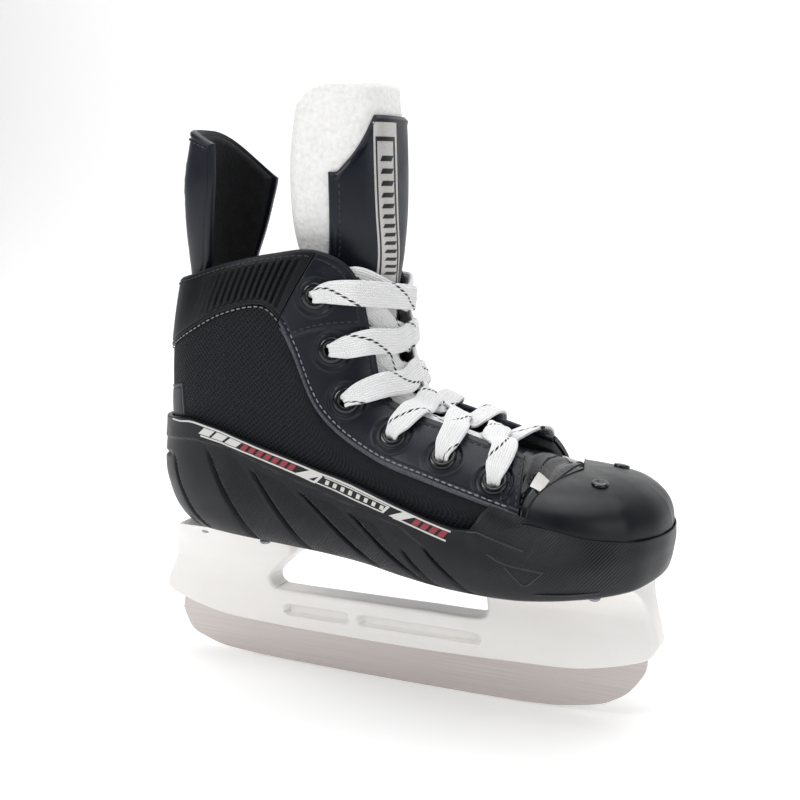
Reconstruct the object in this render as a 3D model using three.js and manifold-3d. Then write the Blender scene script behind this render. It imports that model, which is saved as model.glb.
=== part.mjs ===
// Junior hockey ice skate, one boot: moulded shell and toe cap, stitched upper, tongue, tendon guard,
// blade holder and steel runner. Millimetres, +X to the toe, +Y to the left, +Z up.
// The origin is on the ice, under the middle of the runner.
import * as THREE from 'three';
import { mergeVertices } from 'three/addons/utils/BufferGeometryUtils.js';
import Module from 'manifold-3d';

const wasm = await Module();
wasm.setup();

// Driving dimensions
const GAP = 0.35;               // clearance between touching pieces
const RUNNER_THICK = 3;
const RUNNER_SLOT = 3.8;
const RUNNER_TOP = 25;          // hidden upper edge of the steel inside the holder
const SHELL_WALL = 2.6;
const SHELL_FLOOR = 3;
const BOARD_THICK = 1.8;
const FOOTBED_THICK = 4;
const BODY_OUT = -1.45;         // padded inner boot, offsets from the skin surface
const BODY_IN = -4.8;
const PANEL_IN = -0.5;          // stitched panels over it
const QUARTER_OUT = 0.3;
const EYESTAY_OUT = 0.7;
const COLLAR_OUT = 1.4;
const HOLE_RADIUS = 4.3;
const BARREL_RADIUS = 3.9;
const BORE_RADIUS = 3.0;
const FLANGE_RADIUS = 5.4;
const LACE_RADIUS = 1.25;
const LACE_STEPS = 175;
const TONGUE_SPLIT = 196;       // height where the tongue top bends forward
const TONGUE_TOP = 269;
const FELT_THICK = 7;
const COVER_THICK = 1.2;
const TONGUE_Y = 1;             // the tongue sits a little to the left
const GUARD_TOP = 250;
const GUARD_FRONT_TOP = 229;
const CAP_POLE = [86, 0, 110.5];
const CAP_POWER = 2.4;          // roundness of the toe cap, 2 is an ellipse

function finish(color, roughness, metalness = 0) {
  return new THREE.MeshStandardMaterial({ color, roughness, metalness });
}

const STEEL = finish(0xc4bdba, 0.35, 1);
const HOLDER_WHITE = finish(0xf2efec, 0.4);
const SHELL_BLACK = finish(0x1d2026, 0.5);
const VINYL_BLACK = finish(0x20242c, 0.45);
const FABRIC_BLACK = finish(0x191b20, 0.8);
const VELVET_BLACK = finish(0x0c0d10, 0.95);
const FELT_WHITE = finish(0xf0f0ee, 0.95);
const FOAM_GREY = finish(0x33363c, 0.9);
const SILVER = finish(0xc9c7c4, 0.4, 0.3);
const EYELET_BLACK = finish(0x15171b, 0.3, 0.6);
const RIVET_GREY = finish(0x8d8f93, 0.4, 0.8);
const LACE_WHITE = finish(0xf6f6f6, 0.85);

const skate = new THREE.Group();
skate.name = 'ice_skate';

function add(name, geometry, material) {
  const mesh = new THREE.Mesh(geometry, material);
  mesh.name = name;
  skate.add(mesh);
  return mesh;
}

// Drops normals and uvs, merges shared corners and throws away triangles that have no area.
function clean(geometry) {
  const bare = geometry.index ? geometry.toNonIndexed() : geometry.clone();
  bare.deleteAttribute('normal');
  bare.deleteAttribute('uv');
  const merged = mergeVertices(bare, 1e-4);
  const index = merged.index.array;
  const kept = [];
  for (let i = 0; i < index.length; i += 3) {
    const [a, b, c] = [index[i], index[i + 1], index[i + 2]];
    if (a !== b && b !== c && c !== a) kept.push(a, b, c);
  }
  merged.setIndex(kept);
  return merged;
}

function toSolid(geometry) {
  const bare = clean(geometry);
  const vertProperties = new Float32Array(bare.attributes.position.array);
  const triVerts = new Uint32Array(bare.index.array);
  return new wasm.Manifold(new wasm.Mesh({ numProp: 3, vertProperties, triVerts }));
}

function fromSolid(solid) {
  const { vertProperties, triVerts } = solid.getMesh();
  const geometry = new THREE.BufferGeometry();
  geometry.setAttribute('position', new THREE.BufferAttribute(new Float32Array(vertProperties), 3));
  geometry.setIndex(new THREE.BufferAttribute(new Uint32Array(triVerts), 1));
  return geometry;
}

// Closed solid from a list of rings, each a closed loop of points; the first and last ring are
// closed by a strip across them when capped, or have shrunk to a line already. The two halves of a
// capped ring split their four-sided faces the same way, so that stacked panels keep their gap.
function skinRings(rings, capped) {
  const count = rings[0].length;
  const points = rings.flat();
  const index = [];
  for (let r = 0; r + 1 < rings.length; r++) {
    for (let i = 0; i < count; i++) {
      const j = (i + 1) % count;
      const [a, b, c, d] = [r * count + i, r * count + j, (r + 1) * count + j, (r + 1) * count + i];
      if (capped && i >= count / 2) index.push(a, b, d, b, c, d);
      else index.push(a, b, c, a, c, d);
    }
  }
  if (capped) {
    const last = (rings.length - 1) * count;
    for (let i = 0; i < count / 2 - 1; i++) {
      const k = count - 1 - i;
      index.push(i, k, i + 1, i + 1, k, k - 1);
      index.push(last + i, last + i + 1, last + k, last + i + 1, last + k - 1, last + k);
    }
  }
  const geometry = new THREE.BufferGeometry();
  geometry.setAttribute('position', new THREE.Float32BufferAttribute(points.flat(), 3));
  geometry.setIndex(index);
  const merged = clean(geometry);
  if (signedVolume(merged) < 0) flip(merged);
  return merged;
}

function signedVolume(geometry) {
  const [p, index] = [geometry.attributes.position, geometry.index.array];
  const [a, b, c] = [new THREE.Vector3(), new THREE.Vector3(), new THREE.Vector3()];
  let volume = 0;
  for (let i = 0; i < index.length; i += 3) {
    a.fromBufferAttribute(p, index[i]);
    b.fromBufferAttribute(p, index[i + 1]);
    c.fromBufferAttribute(p, index[i + 2]);
    volume += a.dot(b.cross(c)) / 6;
  }
  return volume;
}

function flip(geometry) {
  const index = geometry.index.array;
  for (let i = 0; i < index.length; i += 3) [index[i], index[i + 1]] = [index[i + 1], index[i]];
}

// Smooth value of a list of points at position t, where whole numbers hit the points.
function spline(points, t) {
  const last = points.length - 1;
  const k = Math.min(Math.max(Math.floor(t), 0), last - 1);
  const s = t - k;
  const at = (i) => points[Math.min(Math.max(i, 0), last)];
  const [p0, p1, p2, p3] = [at(k - 1), at(k), at(k + 1), at(k + 2)];
  return p1.map((v, c) => {
    const m1 = (p2[c] - p0[c]) / 2;
    const m2 = (p3[c] - v) / 2;
    return v + s * m1 + s * s * (3 * (p2[c] - v) - 2 * m1 - m2) + s ** 3 * (2 * (v - p2[c]) + m1 + m2);
  });
}

// A half outline [x, half width, z] from the heel centre forward, mirrored to both sides.
const mirrored = (half) => [...half.slice(1).reverse().map(([x, w, z]) => [x, -w, z]), ...half];

// Curves that the upper is stretched over, 0 at the heel centre to 10 at the front end.
const LOW = [[-112, 0, 86], [-106.5, 15, 87], [-92, 25, 86], [-72, 28.5, 84], [-52, 29, 82],
  [-36, 30, 80], [-20, 31, 78], [-2, 33, 77], [18, 36, 76], [42, 38, 76], [66, 38, 77]];
const LEDGE = [[-112.3, 0, 118], [-107, 16.5, 119], [-92, 27.5, 119], [-72, 31.3, 115.5],
  [-52, 31.8, 110], [-36, 32.4, 106], [-20, 33.4, 102], [-2, 35.4, 98.5], [18, 38.2, 95.5],
  [42, 41.2, 92.5], [67, 40.8, 90]];
const SEAM = [[-111.5, 0, 150], [-106.5, 16, 151.5], [-93, 26.5, 159], [-71, 31, 170], [-51, 32, 174.3],
  [-41, 32.5, 168], [-35, 32.7, 157], [-22, 33, 130], [3, 35, 113.5], [33, 39, 105.2], [71, 39, 95]];
const EDGE = [[-107, 0, 181], [-102, 14, 182.5], [-88, 25, 185.5], [-67, 31, 191], [-44, 32, 195.5],
  [-24, 29.5, 197], [-9.5, 24, 187], [-3, 21.5, 160], [5, 20.5, 135], [35, 20, 124], [67, 20.5, 115]];
const FRONT = LEDGE.length - 1;
const BULGE_LOW = 1.2;
const BULGE_TOP = 1.4;

// Point of the skin surface: u from -10 (right front) through the heel to 10 (left front),
// v from -1 (inside the shell) over 0 (shell rim) and 1 (panel seam) to 2 (top edge).
function skinPoint(u, v) {
  const at = (half) => new THREE.Vector3(...spline(mirrored(half), u + FRONT));
  if (v < 0) return at(LEDGE).lerp(at(LOW), -v);
  const [from, to, s] = v < 1 ? [at(LEDGE), at(SEAM), v] : [at(SEAM), at(EDGE), v - 1];
  const swell = 4 * s * (1 - s) * (v < 1 ? BULGE_LOW : BULGE_TOP);
  const side = Math.sign(u) * Math.min(1, Math.abs(u) / 2);
  const rise = v < 1 ? 0 : Math.max(0, Math.min(1, (Math.abs(u) - 6) / 2));
  return from.lerp(to, s).add(new THREE.Vector3(0, side * swell, rise * swell));
}

function skinNormal(u, v) {
  const e = 0.02;
  const du = skinPoint(Math.min(u + e, FRONT), v).sub(skinPoint(Math.max(u - e, -FRONT), v));
  const [lo, hi] = v < 0 ? [v, v + e] : [Math.max(v - e, 0), Math.min(v + e, 2)];
  const dv = skinPoint(u, hi).sub(skinPoint(u, lo));
  return dv.cross(du).normalize();
}

const skin = (u, v, h) => skinPoint(u, v).addScaledVector(skinNormal(u, v), h);

// A panel on the skin between two values of u and two of v, split on the same lines as its neighbours.
const U_STEP = 0.5;
const V_STEP = 0.5;

function gridLines(from, to, step) {
  const lines = [from];
  for (let k = Math.ceil(from / step); k * step < to - 0.2 * step; k++) {
    if (k * step > from + 0.2 * step) lines.push(k * step);
  }
  return [...lines, to];
}

function panel([u0, u1], [v0, v1], inner, outer) {
  const vs = gridLines(v0, v1, V_STEP);
  const rings = gridLines(Math.min(u0, u1), Math.max(u0, u1), U_STEP).map((u) => [
    ...vs.map((v) => skin(u, v, inner).toArray()),
    ...[...vs].reverse().map((v) => skin(u, v, outer).toArray())]);
  return skinRings(rings, true);
}

const EYELETS = [[5.64, 1.55], [6.6, 1.48], [7.32, 1.37], [8.3, 1.47], [9.04, 1.43], [9.62, 1.36]];

// Cylinder along a direction through a point of the skin.
function skinCylinder(u, v, radius, from, to, sides) {
  const rod = new THREE.CylinderGeometry(radius, radius, to - from, sides);
  const turn = new THREE.Quaternion().setFromUnitVectors(new THREE.Vector3(0, 1, 0), skinNormal(u, v));
  rod.applyQuaternion(turn);
  const middle = skin(u, v, (from + to) / 2);
  return rod.translate(middle.x, middle.y, middle.z);
}

function punchEyelets(geometry, sides) {
  let solid = toSolid(geometry);
  for (const side of sides) {
    for (const [u, v] of EYELETS) {
      solid = solid.subtract(toSolid(skinCylinder(side * u, v, HOLE_RADIUS, -9, 5, 10)));
    }
  }
  return fromSolid(solid);
}

function innerBoot() {
  return punchEyelets(panel([-FRONT, FRONT], [-1, 2], BODY_IN, BODY_OUT), [-1, 1]);
}

// Narrow joint between neighbouring panels, in units of u and v.
const JOINT_U = 0.025;
const JOINT_V = 0.014;
const SPLIT_U = 5;              // where the collar panel meets the eyestay
const COUNTER_U = 1.35;

const quarter = (side) => panel([side * JOINT_U, side * FRONT], [0.02, 1 - JOINT_V], PANEL_IN, QUARTER_OUT);
const collarSpan = (side) => [side * JOINT_U, side * (SPLIT_U - JOINT_U)];
const collar = (side) => panel(collarSpan(side), [1 + JOINT_V, 2], PANEL_IN, COLLAR_OUT);
const COUNTER_IN = QUARTER_OUT + GAP;
const heelCounter = () => panel([-COUNTER_U, COUNTER_U], [0.12, 0.72], COUNTER_IN, COUNTER_IN + 0.8);

function eyestay(side) {
  const plain = panel([side * (SPLIT_U + JOINT_U), side * FRONT], [1 + JOINT_V, 2], PANEL_IN, EYESTAY_OUT);
  return punchEyelets(plain, [side]);
}

// Hollow grommet: flange outside, barrel through the leather, rolled lip inside.
function eyelet(side, u, v) {
  const outline = [[BORE_RADIUS, -5.3], [BARREL_RADIUS, -5.3], [BARREL_RADIUS, EYESTAY_OUT + 0.55],
    [FLANGE_RADIUS, EYESTAY_OUT + 0.55], [FLANGE_RADIUS, EYESTAY_OUT + 1.1],
    [BARREL_RADIUS + 0.3, EYESTAY_OUT + 1.6], [BORE_RADIUS, EYESTAY_OUT + 1.1], [BORE_RADIUS, -5.3]];
  const ring = new THREE.LatheGeometry(outline.map(([r, h]) => new THREE.Vector2(r, h)), 10);
  const turn = new THREE.Quaternion().setFromUnitVectors(new THREE.Vector3(0, 1, 0), skinNormal(side * u, v));
  ring.applyQuaternion(turn);
  const centre = skinPoint(side * u, v);
  const geometry = clean(ring.translate(centre.x, centre.y, centre.z));
  if (signedVolume(geometry) < 0) flip(geometry);
  return geometry;
}

// Moulded shell: outlines from the heel centre to the toe centre.
const SOLE_EDGE = [[-104, 0, 67], [-99, 14, 68], [-88, 23, 68.5], [-70, 27, 68], [-52, 27.5, 67],
  [-36, 27.5, 66], [-20, 28, 65], [-2, 29.5, 63.5], [18, 32.5, 61], [42, 36.5, 59.5], [70, 38, 59.5],
  [95, 34, 62], [112, 25.5, 64.8], [119, 13, 66.8], [121, 0, 67.5]];
const SHELL_MID = [[-116.8, 0, 90], [-111.5, 17.5, 90], [-97, 28.5, 88], [-74, 33.5, 85],
  [-52, 34.2, 82], [-36, 35, 79.5], [-20, 36, 77], [-2, 38.5, 75], [18, 41.5, 73], [42, 44.6, 72],
  [70, 45.4, 72.5], [97, 40.5, 75], [114, 29, 77.5], [121.5, 15, 78.5], [123.8, 0, 79]];
const RIM_OFFSET = [[-3.3, 0], [-2.8, 1.8], [-1.6, 2.9], [0, 3.3]];
const rimPoint = ([x, w, z], k) => {
  const [dx, dw] = RIM_OFFSET[Math.min(k, 3)];
  return [x + dx, w + dw, z];
};
const SHELL_RIM = [...LEDGE.slice(0, 10).map(rimPoint), [71, 44.4, 90], [98, 39.5, 86.5], [114.5, 28.5, 85.5],
  [121.8, 14.5, 85.2], [124, 0, 85]];
const TOE = SOLE_EDGE.length - 1;

// The outline at position t round the whole shell, 0 to 1, drawn in by inset along the plan normal.
function shellLoop(half, count, inset, lift) {
  const loop = [...mirrored(half)].slice(0, -1);
  const size = loop.length;
  const at = (t) => spline([loop[size - 1], ...loop, loop[0], loop[1]], ((t % 1) + 1) % 1 * size + 1);
  return Array.from({ length: count }, (_, i) => {
    const t = i / count;
    const [p, a, b] = [at(t), at(t - 0.002), at(t + 0.002)];
    const [tx, ty] = [b[0] - a[0], b[1] - a[1]];
    const norm = Math.hypot(tx, ty);
    return [p[0] + ty / norm * inset, p[1] - tx / norm * inset, p[2] + lift];
  });
}

const LOOP = 2 * TOE * 2;

// The same loop flattened to the centre line, for closing a floor.
const spine = (loop, dz) => loop.map(([x, , z]) => [x, 0, z + dz]);

function outsoleShell() {
  const edge = (inset, lift) => shellLoop(SOLE_EDGE, LOOP, inset, lift);
  const [mid, midIn] = [0, SHELL_WALL].map((inset) => shellLoop(SHELL_MID, LOOP, inset, 0));
  const [rim, rimIn] = [0, SHELL_WALL].map((inset) => shellLoop(SHELL_RIM, LOOP, inset, 0));
  return skinRings([spine(edge(3, 0), 0), edge(3, 0), edge(0, 0.6), mid, rim, rimIn, midIn,
    edge(1.5, SHELL_FLOOR + 0.6), spine(edge(4, SHELL_FLOOR), 0)], false);
}

function floorPlate(inset, from, to) {
  const edge = (lift) => shellLoop(SOLE_EDGE, LOOP, inset, lift);
  return skinRings([spine(edge(from), 0), edge(from), edge(to), spine(edge(to), 0)], false);
}

// Toe cap: dome from its lower edge up to a pole at the middle of its rear edge.
const CAP_EDGE = [[74.2, 43.2, 93], [86, 42.6, 89.6], [98, 39.2, 87.2], [107.5, 34, 86.2], [114.3, 28.2, 85.9],
  [121.6, 14.3, 85.7], [123.8, 0, 85.6]];
const CAP_WALL = 2.2;

// s from 0 at the right rear corner round the toe to 1 at the left, t from 0 at the edge to 1 at the pole.
function capPoint(s, t) {
  const half = CAP_EDGE.length - 1;
  const across = (2 * s - 1) * half;
  const [x, w, z] = spline(CAP_EDGE, half - Math.abs(across));
  const edge = new THREE.Vector3(x, w * Math.sign(across), z);
  const reach = Math.cos(t * Math.PI / 2) ** (2 / CAP_POWER);
  const climb = Math.sin(t * Math.PI / 2) ** (2 / CAP_POWER);
  const pole = new THREE.Vector3(...CAP_POLE);
  const rise = (pole.z - edge.z) * climb;
  return new THREE.Vector3(pole.x + (edge.x - pole.x) * reach, edge.y * reach, edge.z + rise);
}

function toeCap() {
  const [across, up] = [20, 7];
  const inside = new THREE.Vector3(CAP_POLE[0], 0, CAP_EDGE[0][2] - 2);
  const inner = (p) => {
    const shrink = 1 - CAP_WALL / Math.hypot(p.x - inside.x, p.y, p.z - inside.z);
    return [p.x + (inside.x - p.x) * (1 - shrink) * (p.x > inside.x ? 1 : 0), p.y * shrink,
      p.z - CAP_WALL * Math.min(1, Math.max(0, (p.z - CAP_EDGE[0][2]) / 8))];
  };
  const rings = [];
  for (let i = 0; i <= across; i++) {
    const outer = Array.from({ length: up + 1 }, (_, j) => capPoint(i / across, j / up));
    rings.push([...outer.map((p) => p.toArray()), ...outer.reverse().map(inner)]);
  }
  return skinRings(rings, true);
}

const TOE_RIVET = [0.242, 0.72];       // place on the cap: half spread of s round the middle, and t

function toeRivet(side) {
  const [spread, t] = TOE_RIVET;
  const s = 0.5 + side * spread;
  const e = 0.01;
  const across = capPoint(s + e, t).sub(capPoint(s - e, t));
  const up = capPoint(s, t + e).sub(capPoint(s, t - e));
  const normal = across.cross(up).normalize();
  if (normal.z < 0) normal.negate();
  return domeHead(capPoint(s, t).addScaledVector(normal, GAP), normal, 3.4, 1.2);
}

// Low round rivet head standing on a point, along a direction.
function domeHead(point, direction, radius, height) {
  const outline = [[0, 0], [radius, 0], [radius, height * 0.4], [radius * 0.7, height * 0.85], [0, height]];
  const head = new THREE.LatheGeometry(outline.map(([r, h]) => new THREE.Vector2(r, h)), 12);
  head.applyQuaternion(new THREE.Quaternion().setFromUnitVectors(new THREE.Vector3(0, 1, 0), direction));
  const geometry = clean(head.translate(point.x, point.y, point.z));
  if (signedVolume(geometry) < 0) flip(geometry);
  return geometry;
}

// Vamp: thin arch bridging from between the facings to under the toe cap.
const VAMP = [[69, 30, 92, 104], [76, 32, 92, 105], [83, 33, 92, 106], [90, 31, 93, 105.5]];

function vamp() {
  const rings = [];
  for (const [x, w, base, top] of VAMP) {
    const arch = (thin) => Array.from({ length: 13 }, (_, i) => {
      const angle = Math.PI * i / 12;
      return [x, (w - thin) * Math.cos(angle), base + (top - base - thin) * Math.sin(angle) ** 0.8];
    });
    rings.push([...arch(0), ...arch(1.2).reverse()]);
  }
  return skinRings(rings, true);
}

// Tongue stations: front surface x and z on the centre line, half width, wrap depth, roundness, and how
// far the inside narrows with the thickness.
const TONGUE = [[64, 109.5, 18, 3, 2, 0], [50, 113.8, 18.5, 4, 2, 0], [36, 118, 18.5, 5, 2, 0.1],
  [22, 122.3, 18, 8, 2, 0.3], [9.5, 129.8, 17.5, 14, 2.1, 0.6], [2, 142.5, 17, 24, 2.1, 0.9],
  [-1.2, 160, 16.5, 33, 2.1, 1], [-1, 180, 16.5, 39, 2.2, 1], [0.5, TONGUE_SPLIT, 18, 43, 2.8, 1],
  [0.5, 215, 22, 44, 3.4, 1], [0, 240, 23.5, 43, 3.5, 1], [-1, TONGUE_TOP, 22.5, 38, 3.2, 1]];
const SPLIT_STATION = 8;

// Point at station t, s from -1 (right edge) to 1, at a depth under the front surface.
function tonguePoint(t, s, depth) {
  const [x, z, w, wrap, power, narrows] = spline(TONGUE, t);
  const back = spline(TONGUE, Math.max(t - 0.05, 0));
  const ahead = spline(TONGUE, Math.min(t + 0.05, TONGUE.length - 1));
  const along = new THREE.Vector2(ahead[0] - back[0], ahead[1] - back[1]).normalize();
  const half = w - depth * narrows;
  const angle = Math.abs(s) * Math.PI / 2;
  const y = Math.sign(s) * half * Math.sin(angle) ** (2 / power);
  const fall = depth + (wrap - depth * narrows) * (1 - Math.max(Math.cos(angle), 0) ** (2 / power));
  return [x - along.y * fall, y + TONGUE_Y, z + along.x * fall];
}

function tonguePiece(from, to, steps, [right, left], inner, outer) {
  const rings = [];
  const across = 10;
  for (let i = 0; i <= steps; i++) {
    const t = from + (to - from) * i / steps;
    const row = (depth) => Array.from({ length: across + 1 },
      (_, j) => tonguePoint(t, right + (left - right) * j / across, depth));
    rings.push([...row(outer), ...row(inner).reverse()]);
  }
  return skinRings(rings, true);
}

// Tendon guard levels: height, rear x, half width, x of the front edge.
const GUARD = [[184.5, -101.3, 19, -86], [192, -101.8, 21.5, -82.5], [205, -102.2, 25, -79.5],
  [218, -102, 27.5, -77], [GUARD_FRONT_TOP, -101, 29, -75], [GUARD_TOP, -96, 29, -75]];
const GUARD_WALL = 2.4;
const LINING_THICK = 3;
const GUARD_ROUND = 2.3;

function guardPoint(s, t, depth) {
  const top = GUARD_FRONT_TOP + (GUARD_TOP - GUARD_FRONT_TOP) * (1 - Math.abs(s) ** 1.5);
  const z = GUARD[0][0] + t * (top - GUARD[0][0]);
  let level = GUARD.findIndex(([height]) => height >= z - 1e-6);
  level = Math.max(level, 1);
  const part = (z - GUARD[level - 1][0]) / (GUARD[level][0] - GUARD[level - 1][0]);
  const [, rear, half, front] = spline(GUARD, level - 1 + part);
  const angle = Math.abs(s) * Math.PI / 2;
  const wrap = 1 - Math.max(Math.cos(angle), 0) ** (2 / GUARD_ROUND);
  const y = Math.sign(s) * (half - depth) * Math.sin(angle) ** (2 / GUARD_ROUND);
  return [rear + depth + (front - rear - depth) * wrap, y, z];
}

function guardPiece(from, to, drop) {
  const rings = [];
  const [across, up] = [12, 5];
  for (let i = 0; i <= across; i++) {
    const s = (2 * i / across - 1) * (1 - drop * 0.06);
    const row = (depth) => Array.from({ length: up + 1 },
      (_, j) => guardPoint(s, j / up * (1 - drop * 0.03), depth));
    rings.push([...row(from), ...row(to).reverse()]);
  }
  return skinRings(rings, true);
}

// Blade holder: side outline cut out of a flared bar, with a window, side recesses and the runner slot.
const RUNNER_LINE = [[-117.5, 27.6], [-110.5, 24.9], [-93.2, 20.7], [-76.1, 19.1], [-51.2, 18.3], [-19.3, 18.2],
  [11.2, 18.1], [40.4, 19], [68.4, 19.8], [88.7, 21.4], [101.7, 24], [114.5, 28.8]];
const HOLDER_FLARE = [[5, 10], [5.2, 22], [6.2, 32], [6.6, 40], [8, 48], [10.5, 54], [13.5, 75]];
const BRIDGE_TOP = 37.6;

function extrudeSide(points, thick) {
  const shape = new THREE.Shape(points.map(([x, z]) => new THREE.Vector2(x, z)));
  const bar = new THREE.ExtrudeGeometry(shape, { depth: thick, bevelEnabled: false });
  return bar.rotateX(Math.PI / 2).translate(0, thick / 2, 0);
}

function extrudeAlong(points, from, to) {
  const shape = new THREE.Shape(points.map(([y, z]) => new THREE.Vector2(y, z)));
  const bar = new THREE.ExtrudeGeometry(shape, { depth: to - from, bevelEnabled: false });
  return bar.rotateX(Math.PI / 2).rotateZ(Math.PI / 2).translate(from, 0, 0);
}

// Flanges under the sole: from x, to x, half width.
const FLANGES = [[-99, -49, 23], [46, 111, 27]];

function flange(from, to, wide) {
  const sole = shellLoop(SOLE_EDGE, LOOP, 3, 0).filter(([, y]) => y > 1);
  const inside = sole.filter(([x]) => x > from + 1 && x < to - 1).map(([x, , z]) => [x, z]);
  const top = [[from, soleHeight(from)], ...inside, [to, soleHeight(to)]].map(([x, z]) => [x, z - 2 * GAP]);
  const plate = [...top, ...top.map(([x, z]) => [x, z - FLANGE_THICK]).reverse()];
  const [middle, reach] = [(from + to) / 2, (to - from) / 2];
  const outline = Array.from({ length: 24 }, (_, i) => {
    const angle = 2 * Math.PI * i / 24;
    const power = (value) => Math.sign(value) * Math.abs(value) ** (2 / 3.5);
    return new THREE.Vector2(middle + reach * power(Math.cos(angle)), wide * power(Math.sin(angle)));
  });
  const tall = new THREE.ExtrudeGeometry(new THREE.Shape(outline), { depth: 100, bevelEnabled: false });
  return toSolid(extrudeSide(plate, 80)).intersect(toSolid(tall));
}

function bladeHolder() {
  const sole = shellLoop(SOLE_EDGE, LOOP, 3, 0).filter(([, y]) => y > 1);
  const under = sole.map(([x, , z]) => [x, z - 2 * GAP]).filter(([x]) => x < 112);
  const front = [[118, 29.8], [121, 36], [121.2, 39.5], [115.5, 57.8], [113, 65.4]];
  const rear = [[-104, 65.6], [-112.8, 60], [-117.5, 44.6], [-122, 32.1]];
  const outline = [...RUNNER_LINE, ...front, ...under.reverse(), ...rear];
  const window = [[-61.8, 37.9], [-56, 37.2], [0, BRIDGE_TOP], [41, BRIDGE_TOP], [45, 39.4], [45.8, 43],
    [45.2, 80], [-47, 80], [-49, 57], [-57, 50], [-63, 42.6]];
  const flare = [...HOLDER_FLARE, ...HOLDER_FLARE.map(([y, z]) => [-y, z]).reverse()];
  let solid = toSolid(extrudeSide(outline, 60)).intersect(toSolid(extrudeAlong(flare, -130, 130)));
  for (const [from, to, wide] of FLANGES) solid = solid.add(flange(from, to, wide));
  solid = solid.subtract(toSolid(extrudeSide(window, 80)));
  const slot = new THREE.BoxGeometry(260, RUNNER_SLOT, 40).translate(0, 0, RUNNER_TOP + GAP - 20);
  solid = solid.subtract(toSolid(slot));
  for (const side of [-1, 1]) {
    for (const [from, to, low, high] of [[-56, -23, 25, 30], [-17, 42, 25.4, 30.2]]) {
      const recess = new THREE.BoxGeometry(to - from, 3, high - low);
      solid = solid.subtract(toSolid(recess.translate((from + to) / 2, side * 6.8, (low + high) / 2)));
    }
  }
  return fromSolid(solid);
}

function runner() {
  const bottom = [[-116.1, 18.4], [-111.1, 8.7], [-102.4, 4.8], [-93.7, 2.5], [-85.1, 1.6], [-68.1, 0.8],
    [-35, 0.25], [-12, 0], [12, 0], [40.7, 0.2], [68.8, 0.9], [82.4, 2.4], [95.7, 5.3], [102.2, 8.3],
    [108.6, 13], [114.7, 21.7], [115.4, RUNNER_TOP]];
  return extrudeSide([...bottom, [-116, RUNNER_TOP]], RUNNER_THICK);
}

// Rivets that hold the holder flange to the sole, heads under the flange: x and half spacing.
const HOLDER_RIVETS = [[-92, 15.5], [-59, 17.5], [58, 20.5], [97, 19]];
const FLANGE_THICK = 2.6;

function soleHeight(x) {
  const sole = shellLoop(SOLE_EDGE, LOOP, 3, 0).filter(([, y]) => y > 1);
  const next = Math.max(1, sole.findIndex((point) => point[0] > x));
  const [a, b] = [sole[next - 1], sole[next]];
  return a[2] + (b[2] - a[2]) * (x - a[0]) / (b[0] - a[0]);
}

function holderRivet(x, y) {
  const under = new THREE.Vector3(x, y, soleHeight(x) - 2 * GAP - FLANGE_THICK - 2 * GAP);
  return domeHead(under, new THREE.Vector3(0, 0, -1), 3.4, 1.8);
}

// Lace route: out of each eyelet, over the tongue, under the other facing to the next eyelet up.
// The strands from the right side cross on top.
const OVER = 5.6;
const UNDER = 2.4;
const LACE_START = [66.4, 0, 100];                  // middle of the lace, inside the boot under the first pair
const CROSSING = [7.1, 6.15, 5.1, 3.9, 2.7, 1.5];   // tongue stations where each pair crosses

function lacePoints() {
  const tongueTop = (station, lift) => {
    const [x, , z] = tonguePoint(station, 0, -lift);
    return new THREE.Vector3(x, TONGUE_Y / 2, z);
  };
  const climb = (side) => {
    const points = [];
    let here = side;
    for (let i = EYELETS.length - 1; i >= 0; i--) {
      const [u, v] = EYELETS[i];
      const [nextU, nextV] = i > 0 ? EYELETS[i - 1] : [EYELETS[0][0] + 0.4, EYELETS[0][1] + 0.1];
      const part = (share) => u + (nextU - u) * share;
      for (const height of [-7.2, -1, 3.8]) points.push(skin(here * u, v, height));
      points.push(skin(here * part(0.1), (v + 2) / 2, 4.5));
      points.push(skin(here * part(0.2), 2, 3.7));
      points.push(tongueTop(CROSSING[i], here < 0 ? OVER : UNDER));
      points.push(skin(-here * part(0.75), 2, -6.5));
      points.push(skin(-here * part(0.95), (nextV + 2) / 2, -6.7));
      here = -here;
    }
    points.push(skin(here * (EYELETS[0][0] + 0.4), EYELETS[0][1] + 0.1, -6.7));
    return points;
  };
  return [...climb(1).reverse(), new THREE.Vector3(...LACE_START), ...climb(-1)];
}

function lace() {
  const route = new THREE.CatmullRomCurve3(lacePoints(), false, 'centripetal');
  const section = new THREE.Shape(Array.from({ length: 8 }, (_, i) => {
    const angle = 2 * Math.PI * i / 8;
    return new THREE.Vector2(LACE_RADIUS * Math.cos(angle), LACE_RADIUS * Math.sin(angle));
  }));
  return new THREE.ExtrudeGeometry(section, { steps: LACE_STEPS, extrudePath: route, bevelEnabled: false });
}

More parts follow.
